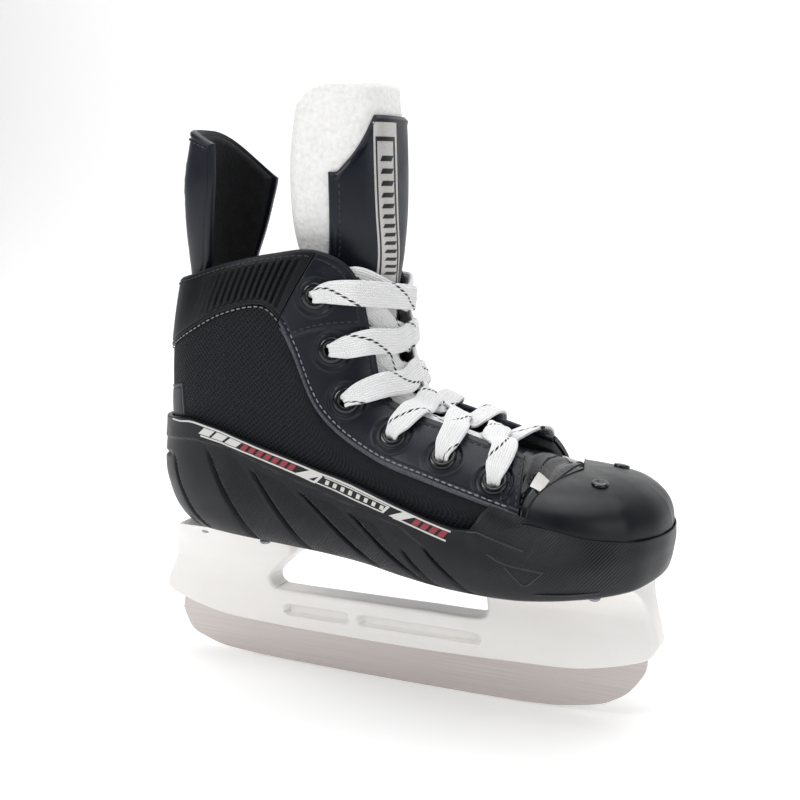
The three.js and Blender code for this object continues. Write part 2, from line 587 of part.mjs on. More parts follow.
add('runner', runner(), STEEL);
add('blade_holder', bladeHolder(), HOLDER_WHITE);
HOLDER_RIVETS.forEach(([x, spread], i) => {
  for (const [side, word] of [[1, 'left'], [-1, 'right']]) {
    add(`holder_rivet_${word}_${i + 1}`, holderRivet(x, side * spread), RIVET_GREY);
  }
});
add('outsole_shell', outsoleShell(), SHELL_BLACK);
add('toe_cap', toeCap(), SHELL_BLACK);
add('insole_board', floorPlate(6.5, SHELL_FLOOR + GAP + 0.6, SHELL_FLOOR + GAP + 0.6 + BOARD_THICK), FOAM_GREY);
add('footbed', floorPlate(7, 3.95 + BOARD_THICK + GAP, 3.95 + BOARD_THICK + GAP + FOOTBED_THICK), FOAM_GREY);
add('inner_boot', innerBoot(), FOAM_GREY);
add('heel_counter', heelCounter(), VINYL_BLACK);
add('vamp', vamp(), VINYL_BLACK);
for (const [side, word] of [[1, 'left'], [-1, 'right']]) {
  add(`quarter_${word}`, quarter(side), FABRIC_BLACK);
  add(`eyestay_${word}`, eyestay(side), VINYL_BLACK);
  add(`collar_${word}`, collar(side), SHELL_BLACK);
  EYELETS.forEach(([u, v], i) => add(`eyelet_${word}_${i + 1}`, eyelet(side, u, v), EYELET_BLACK));
  add(`toe_rivet_${word}`, toeRivet(side), EYELET_BLACK);
}
const FELT_TOP = COVER_THICK + GAP;
const FELT_UNDER = FELT_TOP + FELT_THICK;
const HINGE_STATION = SPLIT_STATION + 0.04;
const feltLower = tonguePiece(SPLIT_STATION / 12, SPLIT_STATION, 11, [-1, 1], FELT_UNDER, FELT_TOP);
add('tongue_felt_lower', feltLower, FELT_WHITE);
add('tongue_cover_lower', tonguePiece(0, SPLIT_STATION, 12, [-0.9, 0.9], COVER_THICK, 0), VINYL_BLACK);
add('tongue_felt_upper', tonguePiece(HINGE_STATION, 11, 6, [-1, 1], FELT_UNDER, FELT_TOP), FELT_WHITE);
add('tongue_cover_upper', tonguePiece(HINGE_STATION, 10.4, 5, [-0.75, 0.75], COVER_THICK, 0), VINYL_BLACK);
add('tongue_strip', tonguePiece(HINGE_STATION, 10.3, 5, [-0.42, 0.04], -0.55, -0.95), SILVER);
add('lace', lace(), LACE_WHITE);
add('tendon_guard', guardPiece(0, GUARD_WALL, 0), VINYL_BLACK);
add('guard_lining', guardPiece(GUARD_WALL + 2 * GAP, GUARD_WALL + 2 * GAP + LINING_THICK, 1), VELVET_BLACK);

export default skate;
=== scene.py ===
"""Junior hockey ice skate, one boot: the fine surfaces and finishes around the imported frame.

Shapes are worked out in millimetres, +X to the toe, +Y to the left, +Z up, and become metres in
each mesh. A surface is a grid of points; rows run one way over it and columns the other.
"""

import bpy
import bmesh
import numpy as np
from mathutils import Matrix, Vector


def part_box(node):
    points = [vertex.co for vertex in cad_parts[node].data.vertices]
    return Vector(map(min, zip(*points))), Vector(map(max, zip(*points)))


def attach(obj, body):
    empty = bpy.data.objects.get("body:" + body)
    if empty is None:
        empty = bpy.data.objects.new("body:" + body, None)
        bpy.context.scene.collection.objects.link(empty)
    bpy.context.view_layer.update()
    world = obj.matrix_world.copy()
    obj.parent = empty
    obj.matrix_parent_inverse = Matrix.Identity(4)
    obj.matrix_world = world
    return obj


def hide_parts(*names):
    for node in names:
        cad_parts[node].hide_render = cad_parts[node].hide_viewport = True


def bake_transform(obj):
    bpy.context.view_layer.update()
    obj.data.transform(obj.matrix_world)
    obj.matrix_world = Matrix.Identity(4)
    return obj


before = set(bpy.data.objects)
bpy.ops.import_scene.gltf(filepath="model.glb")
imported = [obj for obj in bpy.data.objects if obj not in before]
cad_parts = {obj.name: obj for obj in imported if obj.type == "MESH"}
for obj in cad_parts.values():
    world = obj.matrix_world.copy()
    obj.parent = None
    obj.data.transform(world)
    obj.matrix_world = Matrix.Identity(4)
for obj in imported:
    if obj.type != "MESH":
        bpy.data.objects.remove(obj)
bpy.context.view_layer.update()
MM = 0.001

# ---------------------------------------------------------------------------------------------
# Curves that the boot is drawn from, each a half outline [x, half width, z] from the heel centre.
LOW = [[-112, 0, 86], [-106.5, 15, 87], [-92, 25, 86], [-72, 28.5, 84], [-52, 29, 82], [-36, 30, 80],
       [-20, 31, 78], [-2, 33, 77], [18, 36, 76], [42, 38, 76], [66, 38, 77]]
LEDGE = [[-112.3, 0, 118], [-107, 16.5, 119], [-92, 27.5, 119], [-72, 31.3, 115.5], [-52, 31.8, 110],
         [-36, 32.4, 106], [-20, 33.4, 102], [-2, 35.4, 98.5], [18, 38.2, 95.5], [42, 41.2, 92.5],
         [67, 40.8, 90]]
SEAM = [[-111.5, 0, 150], [-106.5, 16, 151.5], [-93, 26.5, 159], [-71, 31, 170], [-51, 32, 174.3],
        [-41, 32.5, 168], [-35, 32.7, 157], [-22, 33, 130], [3, 35, 113.5], [33, 39, 105.2], [71, 39, 95]]
EDGE = [[-107, 0, 181], [-102, 14, 182.5], [-88, 25, 185.5], [-67, 31, 191], [-44, 32, 195.5],
        [-24, 29.5, 197], [-9.5, 24, 187], [-3, 21.5, 160], [5, 20.5, 135], [35, 20, 124], [67, 20.5, 115]]
SOLE_EDGE = [[-104, 0, 67], [-99, 14, 68], [-88, 23, 68.5], [-70, 27, 68], [-52, 27.5, 67],
             [-36, 27.5, 66], [-20, 28, 65], [-2, 29.5, 63.5], [18, 32.5, 61], [42, 36.5, 59.5],
             [70, 38, 59.5], [95, 34, 62], [112, 25.5, 64.8], [119, 13, 66.8], [121, 0, 67.5]]
SHELL_MID = [[-116.8, 0, 90], [-111.5, 17.5, 90], [-97, 28.5, 88], [-74, 33.5, 85], [-52, 34.2, 82],
             [-36, 35, 79.5], [-20, 36, 77], [-2, 38.5, 75], [18, 41.5, 73], [42, 44.6, 72],
             [70, 45.4, 72.5], [97, 40.5, 75], [114, 29, 77.5], [121.5, 15, 78.5], [123.8, 0, 79]]
SHELL_RIM = [[-115.6, 0, 118], [-109.8, 18.3, 119], [-93.6, 30.4, 119], [-72, 34.6, 115.5],
             [-52, 35.1, 110], [-36, 35.7, 106], [-20, 36.7, 102], [-2, 38.7, 98.5], [18, 41.5, 95.5],
             [42, 44.5, 92.5], [71, 44.4, 90], [98, 39.5, 86.5], [114.5, 28.5, 85.5],
             [121.8, 14.5, 85.2], [124, 0, 85]]
EYELETS = [[5.64, 1.55], [6.6, 1.48], [7.32, 1.37], [8.3, 1.47], [9.04, 1.43], [9.62, 1.36]]
SIDES = [(-1, "right"), (1, "left")]


def spline(points, t):
    """Catmull-Rom curve through points: whole values of t hit them, slopes are half the step past them."""
    points = np.asarray(points, float)
    t = np.asarray(t, float)
    last = len(points) - 1
    k = np.clip(np.floor(t).astype(int), 0, last - 1)
    s = (t - k).reshape(t.shape + (1,) * (points.ndim - 1))
    before, here, there, after = (points[np.clip(k + i, 0, last)] for i in (-1, 0, 1, 2))
    slope, next_slope = (there - before) / 2, (after - here) / 2
    return (here + s * slope + s ** 2 * (3 * (there - here) - 2 * slope - next_slope)
            + s ** 3 * (2 * (here - there) + slope + next_slope))


def smooth(low, high, value):
    """0 below low, 1 above high, and 3s² - 2s³ between."""
    s = np.clip((value - low) / (high - low), 0, 1)
    return s * s * (3 - 2 * s)


def bump(distance, width):
    """Bell of height 1: exp(-(distance / width)²)."""
    return np.exp(-(distance / width) ** 2)


def rounded(distance, radius):
    """How far a rounded border drops: radius - sqrt(radius² - (radius - distance)²) within the radius."""
    inside = radius - np.clip(distance, 0, radius)
    return radius - np.sqrt(np.maximum(radius ** 2 - inside ** 2, 0))


def eased(start, stop, count, pull=0.8):
    """count values that crowd towards both ends by pull: t - pull·sin(2πt)/2π."""
    t = np.linspace(0, 1, count)
    return start + (stop - start) * (t - pull * np.sin(2 * np.pi * t) / (2 * np.pi))


def mirrored(half):
    """Whole outline from the right end round the heel to the left end."""
    half = np.array(half, float)
    return np.vstack([half[:0:-1] * [1, -1, 1], half])


def unit(vectors):
    """Each vector divided by its length."""
    return vectors / np.maximum(np.linalg.norm(vectors, axis=-1, keepdims=True), 1e-9)


def grid_normals(points):
    """Unit cross product of the grid's row and column directions at each point."""
    return unit(np.cross(np.gradient(points, axis=0), np.gradient(points, axis=1)))


def runs(points):
    """Lengths in mm along the rows and along the columns of a grid, from its first row and column."""
    down = np.linalg.norm(np.diff(points, axis=0), axis=-1)
    over = np.linalg.norm(np.diff(points, axis=1), axis=-1)
    down = np.concatenate([np.zeros_like(down[:1]), np.cumsum(down, 0)])
    over = np.concatenate([np.zeros_like(over[:, :1]), np.cumsum(over, 1)], 1)
    return down, over


def border_distance(points):
    """Distance in mm of each grid point from the nearest border, along the grid's own lines."""
    down, over = runs(points)
    return np.minimum(np.minimum(down, down[-1:] - down), np.minimum(over, over[:, -1:] - over))


# ---------------------------------------------------------------------------------------------
# Meshes
def grid_quads(rows, cols, wrap_cols=False, start=0):
    """Four-sided faces of a grid of points numbered row by row."""
    r = np.arange(rows - 1)[:, None]
    c = np.arange(cols if wrap_cols else cols - 1)[None, :]
    r_next, c_next = r + 1, (c + 1) % cols
    corners = [r * cols + c, r * cols + c_next, r_next * cols + c_next, r_next * cols + c]
    return start + np.stack(corners, -1).reshape(-1, 4)


def slab_quads(rows, cols):
    """Faces of a plate: outer grid, inner grid turned round, and a wall along the border."""
    size = rows * cols
    number = np.arange(size).reshape(rows, cols)
    border = np.concatenate([number[0, :-1], number[:-1, -1], number[-1, :0:-1], number[:0:-1, 0]])
    after = np.roll(border, -1)
    walls = np.stack([border, border + size, after + size, after], -1)
    return np.concatenate([grid_quads(rows, cols), grid_quads(rows, cols, start=size)[:, ::-1], walls])


def outward(points, quads):
    """Turns every face round when the closed shape's signed volume is negative."""
    a, b, c, d = (points[quads[:, i]] for i in range(4))
    volume = np.sum(a * np.cross(b, c)) + np.sum(a * np.cross(c, d))
    return quads if volume > 0 else quads[:, ::-1]


def piece(name, slot, material, points, quads, uv=None, values=None, body="boot", crease=38,
          replaces=()):
    """A mesh piece from points in mm. uv is in mm too, and values holds named numbers per point."""
    points = np.asarray(points, float).reshape(-1, 3)
    quads = outward(points, quads)
    mesh = bpy.data.meshes.new(name)
    mesh.from_pydata((points * MM).tolist(), [], quads.tolist())
    if uv is not None:
        layer = mesh.uv_layers.new(name="UVMap")
        layer.data.foreach_set("uv", np.asarray(uv, float).reshape(-1, 2)[quads].ravel())
    for key, numbers in (values or {}).items():
        attribute = mesh.attributes.new(key, "FLOAT", "POINT")
        attribute.data.foreach_set("value", np.asarray(numbers, np.float32).ravel())
    made = bpy.data.objects.new(name, mesh)
    bpy.context.scene.collection.objects.link(made)
    tidy_mesh(mesh)
    mesh.shade_smooth()
    mesh.set_sharp_from_angle(angle=np.radians(crease))
    mesh.materials.append(material)
    if body:
        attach(made, body)
    if replaces:
        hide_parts(*replaces)
    return made


def tidy_mesh(mesh):
    """Merges points that coincide, as at poles and closed seams, and drops faces without area."""
    work = bmesh.new()
    work.from_mesh(mesh)
    bmesh.ops.remove_doubles(work, verts=work.verts, dist=2e-6)
    bmesh.ops.dissolve_degenerate(work, edges=work.edges, dist=1e-7)
    work.to_mesh(mesh)
    work.free()


def slab(name, slot, material, outer, inner, **more):
    """Plate between two grids of the same size; its uv is the length along columns and rows."""
    rows, cols = outer.shape[:2]
    down, over = runs(outer)
    uv = np.stack([over, down], -1).reshape(-1, 2)
    points = np.concatenate([outer.reshape(-1, 3), inner.reshape(-1, 3)])
    if "values" in more:
        more["values"] = {k: np.tile(np.ravel(v), 2) for k, v in more["values"].items()}
    return piece(name, slot, material, points, slab_quads(rows, cols), np.tile(uv, (2, 1)), **more)


def plates(pairs):
    """Points and faces of many small plates, each between its own outer and inner grid."""
    points, quads, start = [], [], 0
    for outer, inner in pairs:
        both = np.concatenate([outer.reshape(-1, 3), inner.reshape(-1, 3)])
        quads.append(outward(both, slab_quads(*outer.shape[:2])) + start)
        points.append(both)
        start += len(both)
    return np.concatenate(points), np.concatenate(quads)


# ---------------------------------------------------------------------------------------------
# Finishes
def linear(code):
    """Linear colour of an sRGB hex code."""
    channels = np.array([int(code[i:i + 2], 16) for i in (1, 3, 5)]) / 255
    light = np.where(channels <= 0.04045, channels / 12.92, ((channels + 0.055) / 1.055) ** 2.4)
    return (*light.tolist(), 1.0)


def add_node(tree, kind, inputs=None, **settings):
    """A node with its settings; inputs are numbers, colours or sockets to link from."""
    node = tree.nodes.new(kind)
    for key, value in settings.items():
        setattr(node, key, value)
    for key, value in (inputs or {}).items():
        if isinstance(value, bpy.types.NodeSocket):
            tree.links.new(value, node.inputs[key])
        else:
            node.inputs[key].default_value = value
    return node


def finish(name, color, roughness, **sockets):
    """A material with one Principled shader and fixed values on its sockets."""
    made = bpy.data.materials.new(name)
    made.use_nodes = True
    shader = made.node_tree.nodes["Principled BSDF"]
    shader.inputs["Base Color"].default_value = linear(color)
    shader.inputs["Roughness"].default_value = roughness
    for key, value in sockets.items():
        shader.inputs[key.replace("_", " ")].default_value = value
    return made, made.node_tree, shader


def relief(tree, shader, layers):
    """Chains bump layers (height socket, strength, depth in metres) into the shader's normal."""
    normal = None
    for height, strength, depth in layers:
        inputs = {"Height": height, "Strength": strength, "Distance": depth}
        if normal is not None:
            inputs["Normal"] = normal
        normal = add_node(tree, "ShaderNodeBump", inputs).outputs["Normal"]
    tree.links.new(normal, shader.inputs["Normal"])


def mottle(tree, size_mm, detail=3.0):
    """Soft mottling in the piece's own space, in patches of about size_mm."""
    where = add_node(tree, "ShaderNodeTexCoord").outputs["Object"]
    inputs = {"Vector": where, "Scale": 1000 / size_mm, "Detail": detail}
    return add_node(tree, "ShaderNodeTexNoise", inputs).outputs[0]


def tinted(tree, shader, factor, dark, light, low=0.3, high=0.7):
    """Base colour from dark to light as factor goes from low to high."""
    ramp = add_node(tree, "ShaderNodeValToRGB", {"Fac": factor})
    for stop, place, code in zip(ramp.color_ramp.elements, (low, high), (dark, light)):
        stop.position = place
        stop.color = linear(code)
    tree.links.new(ramp.outputs["Color"], shader.inputs["Base Color"])


def worn(tree, shader, low, high, size_mm):
    """Roughness that wanders from low to high in patches."""
    spread = add_node(tree, "ShaderNodeMapRange", {0: mottle(tree, size_mm, 4.0), 1: 0.3, 2: 0.7,
                                                   3: low, 4: high})
    tree.links.new(spread.outputs[0], shader.inputs["Roughness"])


def moulded_shell():
    """Injection-moulded polymer: even black with a faint blue cast, spark-eroded grain, and fine slanted
    ribs where the attribute hatch is 1. The grain softens the highlights, the ribs glint at an angle."""
    made, tree, shader = finish("moulded_polymer_black", "#101218", 0.38, IOR=1.49, Specular_IOR_Level=0.33)
    tinted(tree, shader, mottle(tree, 30), "#0c0e12", "#12141a")
    worn(tree, shader, 0.34, 0.46, 9)
    where = add_node(tree, "ShaderNodeTexCoord").outputs["Object"]
    turned = add_node(tree, "ShaderNodeMapping", {"Vector": where, "Rotation": (0, np.radians(-42), 0)})
    ribs = add_node(tree, "ShaderNodeTexWave", {"Vector": turned.outputs[0], "Scale": RIB_WAVES},
                    bands_direction="X")
    hatch = add_node(tree, "ShaderNodeAttribute", attribute_name="hatch").outputs["Fac"]
    masked = add_node(tree, "ShaderNodeMath", {0: ribs.outputs[1], 1: hatch}, operation="MULTIPLY")
    relief(tree, shader, [(masked.outputs[0], 0.7, 0.0003), (mottle(tree, 0.5), 0.18, 0.0002)])
    return made


RIB_PITCH = 1.05                                     # mm between the fine ribs
RIB_WAVES = 1000 / RIB_PITCH / (20 / (2 * np.pi))   # a wave texture repeats every 2π/20 of a unit


def smooth_leather():
    """Coated synthetic leather: blue-black, soft broad highlights, faint pebble grain and slow waviness."""
    made, tree, shader = finish("coated_leather_blue_black", "#0c111c", 0.36, IOR=1.5,
                                Specular_IOR_Level=0.3, Coat_Weight=0.12, Coat_Roughness=0.35)
    tinted(tree, shader, mottle(tree, 45), "#090d17", "#0f1522")
    worn(tree, shader, 0.36, 0.5, 14)
    where = add_node(tree, "ShaderNodeTexCoord").outputs["Object"]
    pebbles = add_node(tree, "ShaderNodeTexVoronoi", {"Vector": where, "Scale": 1100.0},
                       feature="SMOOTH_F1")
    relief(tree, shader, [(mottle(tree, 16, 2.0), 0.25, 0.0008), (pebbles.outputs[0], 0.16, 0.0003)])
    return made


def gloss_vinyl():
    """Patent vinyl: deep black with sharp highlights that break over shallow creases."""
    made, tree, shader = finish("patent_vinyl_black", "#0a0c10", 0.26, IOR=1.5,
                                Specular_IOR_Level=0.22, Coat_Weight=0.08, Coat_Roughness=0.12)
    tinted(tree, shader, mottle(tree, 20), "#0d0f12", "#15181d")
    relief(tree, shader, [(mottle(tree, 7, 4.0), 0.35, 0.0009)])
    return made


def quarter_cloth():
    """Coated ballistic nylon pressed with a diamond net: matt, dotted, 1.75 mm between dots."""
    made, tree, shader = finish("coated_nylon_diamond_net", "#111318", 0.6, IOR=1.5,
                                Specular_IOR_Level=0.18)
    where = add_node(tree, "ShaderNodeUVMap", uv_map="UVMap").outputs["UV"]
    turned = add_node(tree, "ShaderNodeMapping", {"Vector": where, "Rotation": (0, 0, np.radians(45))})
    waves = []
    for direction in ("X", "Y"):
        wave = add_node(tree, "ShaderNodeTexWave", {"Vector": turned.outputs[0], "Scale": NET_WAVES},
                        bands_direction=direction)
        waves.append(wave.outputs[1])
    net = add_node(tree, "ShaderNodeMath", {0: waves[0], 1: waves[1]}, operation="MAXIMUM").outputs[0]
    tinted(tree, shader, net, "#0c0e11", "#1e2127", 0.45, 0.98)
    relief(tree, shader, [(net, 0.8, 0.0005), (mottle(tree, 0.6), 0.3, 0.0002)])
    return made


NET_PITCH = 1.75                                    # mm between the ribs of the net, measured on uv in mm
NET_WAVES = 1 / NET_PITCH / (20 / (2 * np.pi))


def soft_rubber():
    """Moulded thermoplastic rubber: near black, satin, with a fine even tooth."""
    made, tree, shader = finish("moulded_rubber_black", "#101217", 0.42, IOR=1.5, Specular_IOR_Level=0.22)
    tinted(tree, shader, mottle(tree, 25), "#0f1114", "#16181c")
    relief(tree, shader, [(mottle(tree, 0.6), 0.25, 0.0002)])
    return made


def brushed_velvet():
    """Cut-pile velvet: light is swallowed head on and caught by the pile at the rim."""
    made, tree, shader = finish("velvet_black", "#08090b", 0.95, Sheen_Weight=0.35, Sheen_Roughness=0.4,
                                Sheen_Tint=linear("#3a3d46"))
    tinted(tree, shader, mottle(tree, 5), "#060709", "#101217")
    relief(tree, shader, [(mottle(tree, 1.1, 5.0), 0.8, 0.0008)])
    return made


def lining_knit():
    """Brushed polyester lining over foam: dark grey, dull, with a napped surface."""
    made, tree, shader = finish("brushed_lining_grey", "#1c1e22", 0.9, Sheen_Weight=0.25)
    tinted(tree, shader, mottle(tree, 4, 4.0), "#17191c", "#24262b")
    relief(tree, shader, [(mottle(tree, 0.9, 4.0), 0.6, 0.0005)])
    return made


def wool_felt():
    """Pressed wool felt: warm white, no gloss, matted fibres in clumps of 1 to 3 mm."""
    made, tree, shader = finish("pressed_wool_felt", "#f1f0ee", 0.97, Sheen_Weight=0.3,
                                Subsurface_Weight=0.15, Subsurface_Radius=(0.002, 0.002, 0.002))
    tinted(tree, shader, mottle(tree, 2.2, 6.0), "#eeedeb", "#fcfcfb", 0.25, 0.6)
    relief(tree, shader, [(mottle(tree, 2.6, 8.0), 0.75, 0.0014), (mottle(tree, 0.5, 3.0), 0.5, 0.0004)])
    return made


def foil_tape():
    """Reflective tape: silver grey with a fine glass-bead sparkle, slightly creased."""
    made, tree, shader = finish("reflective_tape_silver", "#c9c7c4", 0.38, Metallic=0.25)
    tinted(tree, shader, mottle(tree, 0.45, 2.0), "#bab8b5", "#d6d4d1")
    relief(tree, shader, [(mottle(tree, 6.0, 3.0), 0.3, 0.0004)])
    return made


INK_ROUGHNESS = 0.4


def print_ink_or_highlight(name, color):
    """Pad-printed ink on the moulding: flat colour with slight thin spots. The same flat finish also gives
    the painted highlight on the shell's raised lines.
    """
    made, tree, shader = finish(name, color, INK_ROUGHNESS)
    noise = mottle(tree, 1.2, 4.0)
    spread = add_node(tree, "ShaderNodeMapRange", {0: noise, 1: 0.3, 2: 0.7, 3: INK_ROUGHNESS - 0.08,
                                                   4: INK_ROUGHNESS + 0.1})
    tree.links.new(spread.outputs[0], shader.inputs["Roughness"])
    relief(tree, shader, [(noise, 0.15, 0.0001)])
    return made


LACE_RIB = 1.1                                      # mm between lengthwise yarns
TRACER_EVERY = 36.0                                 # mm of lace between tracer yarns
# Each step of the weave: its name, what it does, and the one or two things it works on.
WEAVE = [("leaning", "MULTIPLY", "across", 1.8), ("slanted", "SUBTRACT", "along", "leaning"),
         ("turn", "FLOORED_MODULO", "slanted", TRACER_EVERY), ("off", "SUBTRACT", "turn", TRACER_EVERY / 2),
         ("away", "ABSOLUTE", "off", 0.0), ("line", "LESS_THAN", "away", 1.05),
         ("beat", "FLOORED_MODULO", "across", 1.5), ("dash", "LESS_THAN", "beat", 0.95),
         ("tracer", "MULTIPLY", "line", "dash"),
         ("rib_angle", "MULTIPLY", "across", 2 * np.pi / LACE_RIB), ("plait", "SINE", "rib_angle", 0.0),
         ("pair", "FLOORED_MODULO", "across", 2 * LACE_RIB), ("from_rib", "SUBTRACT", "pair", LACE_RIB),
         ("herring", "ABSOLUTE", "from_rib", 0.0), ("zigzag", "ADD", "along", "herring"),
         ("pick_angle", "MULTIPLY", "zigzag", 2 * np.pi), ("picks", "SINE", "pick_angle", 0.0),
         ("low_picks", "MULTIPLY", "picks", 0.6), ("weave", "ADD", "plait", "low_picks")]


def woven_lace():
    """Flat polyester braid: white, lengthwise ribs of plaited yarn with painted shade in the grooves
    between them, and a black tracer yarn that crosses the band aslant in short dashes."""
    made, tree, shader = finish("braided_lace_white", "#f4f4f4", 0.85, Sheen_Weight=0.2,
                                Subsurface_Weight=0.1, Subsurface_Radius=(0.001, 0.001, 0.001))
    where = add_node(tree, "ShaderNodeUVMap", uv_map="UVMap").outputs["UV"]
    parts = add_node(tree, "ShaderNodeSeparateXYZ", {0: where})
    known = {"along": parts.outputs[0], "across": parts.outputs[1]}
    for name, operation, first, second in WEAVE:
        inputs = {0: known.get(first, first), 1: known.get(second, second)}
        known[name] = add_node(tree, "ShaderNodeMath", inputs, operation=operation).outputs[0]
    # Painted shade: the yarn is coloured darker where the weave dips between ribs and picks, lighter on
    # their crowns.
    shade = add_node(tree, "ShaderNodeMapRange", {0: known["weave"], 1: -1.5, 2: 1.0, 3: 0.0, 4: 1.0})
    groove_shade_colours = {0: shade.outputs[0], 6: linear("#ebebed"), 7: linear("#fdfdfd")}
    yarn = add_node(tree, "ShaderNodeMix", groove_shade_colours, data_type="RGBA")
    traced = {0: known["tracer"], 6: yarn.outputs[2], 7: linear("#141518")}
    color = add_node(tree, "ShaderNodeMix", traced, data_type="RGBA")
    tree.links.new(color.outputs[2], shader.inputs["Base Color"])
    relief(tree, shader, [(known["weave"], 0.55, 0.0003)])
    return made


def holder_nylon():
    """Injection-moulded nylon: white with a warm cast, satin, a little light passing through thin walls."""
    made, tree, shader = finish("moulded_nylon_white", "#f3f0ee", 0.33, IOR=1.52, Subsurface_Weight=0.25,
                                Subsurface_Radius=(0.006, 0.0055, 0.005))
    tinted(tree, shader, mottle(tree, 60), "#eeebe8", "#f6f4f2")
    worn(tree, shader, 0.28, 0.4, 20)
    relief(tree, shader, [(mottle(tree, 22, 2.0), 0.12, 0.0006)])
    return made


def brushed_steel():
    """Ground and brushed stainless steel: warm grey, fine scratches along the blade, streaked gloss."""
    made, tree, shader = finish("brushed_stainless_steel", "#c6bfbc", 0.36, Metallic=0.9)
    where = add_node(tree, "ShaderNodeTexCoord").outputs["Object"]
    drawn = add_node(tree, "ShaderNodeMapping", {"Vector": where, "Scale": (14.0, 700.0, 2600.0)})
    inputs = {"Vector": drawn.outputs[0], "Scale": 1.0, "Detail": 4.0}
    streaks = add_node(tree, "ShaderNodeTexNoise", inputs).outputs[0]
    tinted(tree, shader, streaks, "#bcb4b1", "#cfc8c5")
    rough = add_node(tree, "ShaderNodeMapRange", {0: streaks, 1: 0.3, 2: 0.7, 3: 0.3, 4: 0.5})
    tree.links.new(rough.outputs[0], shader.inputs["Roughness"])
    relief(tree, shader, [(streaks, 0.25, 0.0001)])
    return made


def black_enamel():
    """Stove enamel on pressed brass: black, hard gloss with slight orange peel."""
    made, tree, shader = finish("black_enamel", "#0c0d10", 0.25, Metallic=0.3, Coat_Weight=0.4,
                                Coat_Roughness=0.15)
    tinted(tree, shader, mottle(tree, 3), "#090a0c", "#121418")
    relief(tree, shader, [(mottle(tree, 1.5), 0.12, 0.0003)])
    return made


def plated_steel():
    """Zinc-plated steel rivets: mid grey metal, dulled, with fine scuffs."""
    made, tree, shader = finish("zinc_plated_steel", "#9a9ca0", 0.4, Metallic=0.9)
    tinted(tree, shader, mottle(tree, 1.5), "#85878b", "#a9abaf")
    worn(tree, shader, 0.3, 0.55, 2)
    return made


def thread(name, dark, light):
    """Twisted polyester thread: dull, with the plies just visible."""
    made, tree, shader = finish(name, light, 0.7)
    tinted(tree, shader, mottle(tree, 0.8), dark, light)
    relief(tree, shader, [(mottle(tree, 0.4), 0.4, 0.0002)])
    return made


def insole_fibre():
    """Pressed fibre board and moulded foam: dark grey, dull and slightly mottled."""
    made, tree, shader = finish("pressed_fibre_grey", "#2a2c30", 0.85)
    tinted(tree, shader, mottle(tree, 2.0, 5.0), "#222428", "#34373c")
    relief(tree, shader, [(mottle(tree, 1.0, 4.0), 0.4, 0.0003)])
    return made


SHELL, LEATHER, GLOSS, CLOTH = moulded_shell(), smooth_leather(), gloss_vinyl(), quarter_cloth()
RUBBER, VELVET, LINING, FELT = soft_rubber(), brushed_velvet(), lining_knit(), wool_felt()
SILVER, LACE, NYLON, STEEL = foil_tape(), woven_lace(), holder_nylon(), brushed_steel()
ENAMEL, RIVET, FIBRE = black_enamel(), plated_steel(), insole_fibre()
RED_INK = print_ink_or_highlight("printed_ink_red", "#8f2f38")
SILVER_INK = print_ink_or_highlight("printed_ink_silver", "#d2d1ce")
BLACK_INK = print_ink_or_highlight("printed_ink_black", "#14161a")
DARK_THREAD = thread("thread_charcoal", "#26292f", "#3d4047")
PALE_THREAD = thread("thread_grey", "#6d7078", "#9a9da3")
PIPING = thread("piping_tape_grey", "#33353b", "#55585f")
# Lighter grey for the shell's thin raised lines: a painted highlight where they catch the light.
SHELL_LINE_HIGHLIGHT = print_ink_or_highlight("painted_highlight_shell_line", "#2c2f36")

# ---------------------------------------------------------------------------------------------
# The surface that the upper is stretched over
def skin_point(u, v):
    """u from -10 (right front) round the heel to 10 (left front). v from -1 inside the shell over 0 (ledge)
    and 1 (panel seam) to 2 (top edge). Straight lines between the four curves, swollen by 4s(1 - s)."""
    u, v = np.broadcast_arrays(np.asarray(u, float), np.asarray(v, float))
    low, ledge, seam, edge = (spline(mirrored(half), u + 10) for half in (LOW, LEDGE, SEAM, EDGE))
    deep, first = (v < 0)[..., None], (v < 1)[..., None]
    a = np.where(first, ledge, seam)
    b = np.where(deep, low, np.where(first, seam, edge))
    s = np.where(v < 0, -v, np.where(v < 1, v, v - 1))
    swell = 4 * s * (1 - s) * np.where(v < 0, 0, np.where(v < 1, 1.2, 1.4))
    point = a + (b - a) * s[..., None]
    point[..., 1] += np.sign(u) * np.minimum(1, np.abs(u) / 2) * swell
    point[..., 2] += np.where(v < 1, 0, np.clip((np.abs(u) - 6) / 2, 0, 1)) * swell
    return point


def skin_normal(u, v):
    """Outward unit normal of the skin by small steps in u and v."""
    u, v = np.broadcast_arrays(np.asarray(u, float), np.asarray(v, float))
    step = 0.02
    along = skin_point(np.minimum(u + step, 10), v) - skin_point(np.maximum(u - step, -10), v)
    low = np.where(v < 0, v, np.maximum(v - step, 0))
    high = np.where(v < 0, v + step, np.minimum(v + step, 2))
    up = skin_point(u, high) - skin_point(u, low)
    return unit(np.cross(up, along))


def skin(u, v, height):
    """The skin raised by a height in mm along its normal."""
    return skin_point(u, v) + skin_normal(u, v) * np.asarray(height, float)[..., None]


def eyelet_places(side):
    """Places u, v of the six eyelets of a side, from the top down."""
    return [(side * u, v) for u, v in EYELETS]


def eyelet_distance(points, side):
    """Distance in mm of each point from the nearest eyelet's centre."""
    centres = [skin_point(u, v) for u, v in eyelet_places(side)]
    return np.min([np.linalg.norm(points - centre, axis=-1) for centre in centres], axis=0)


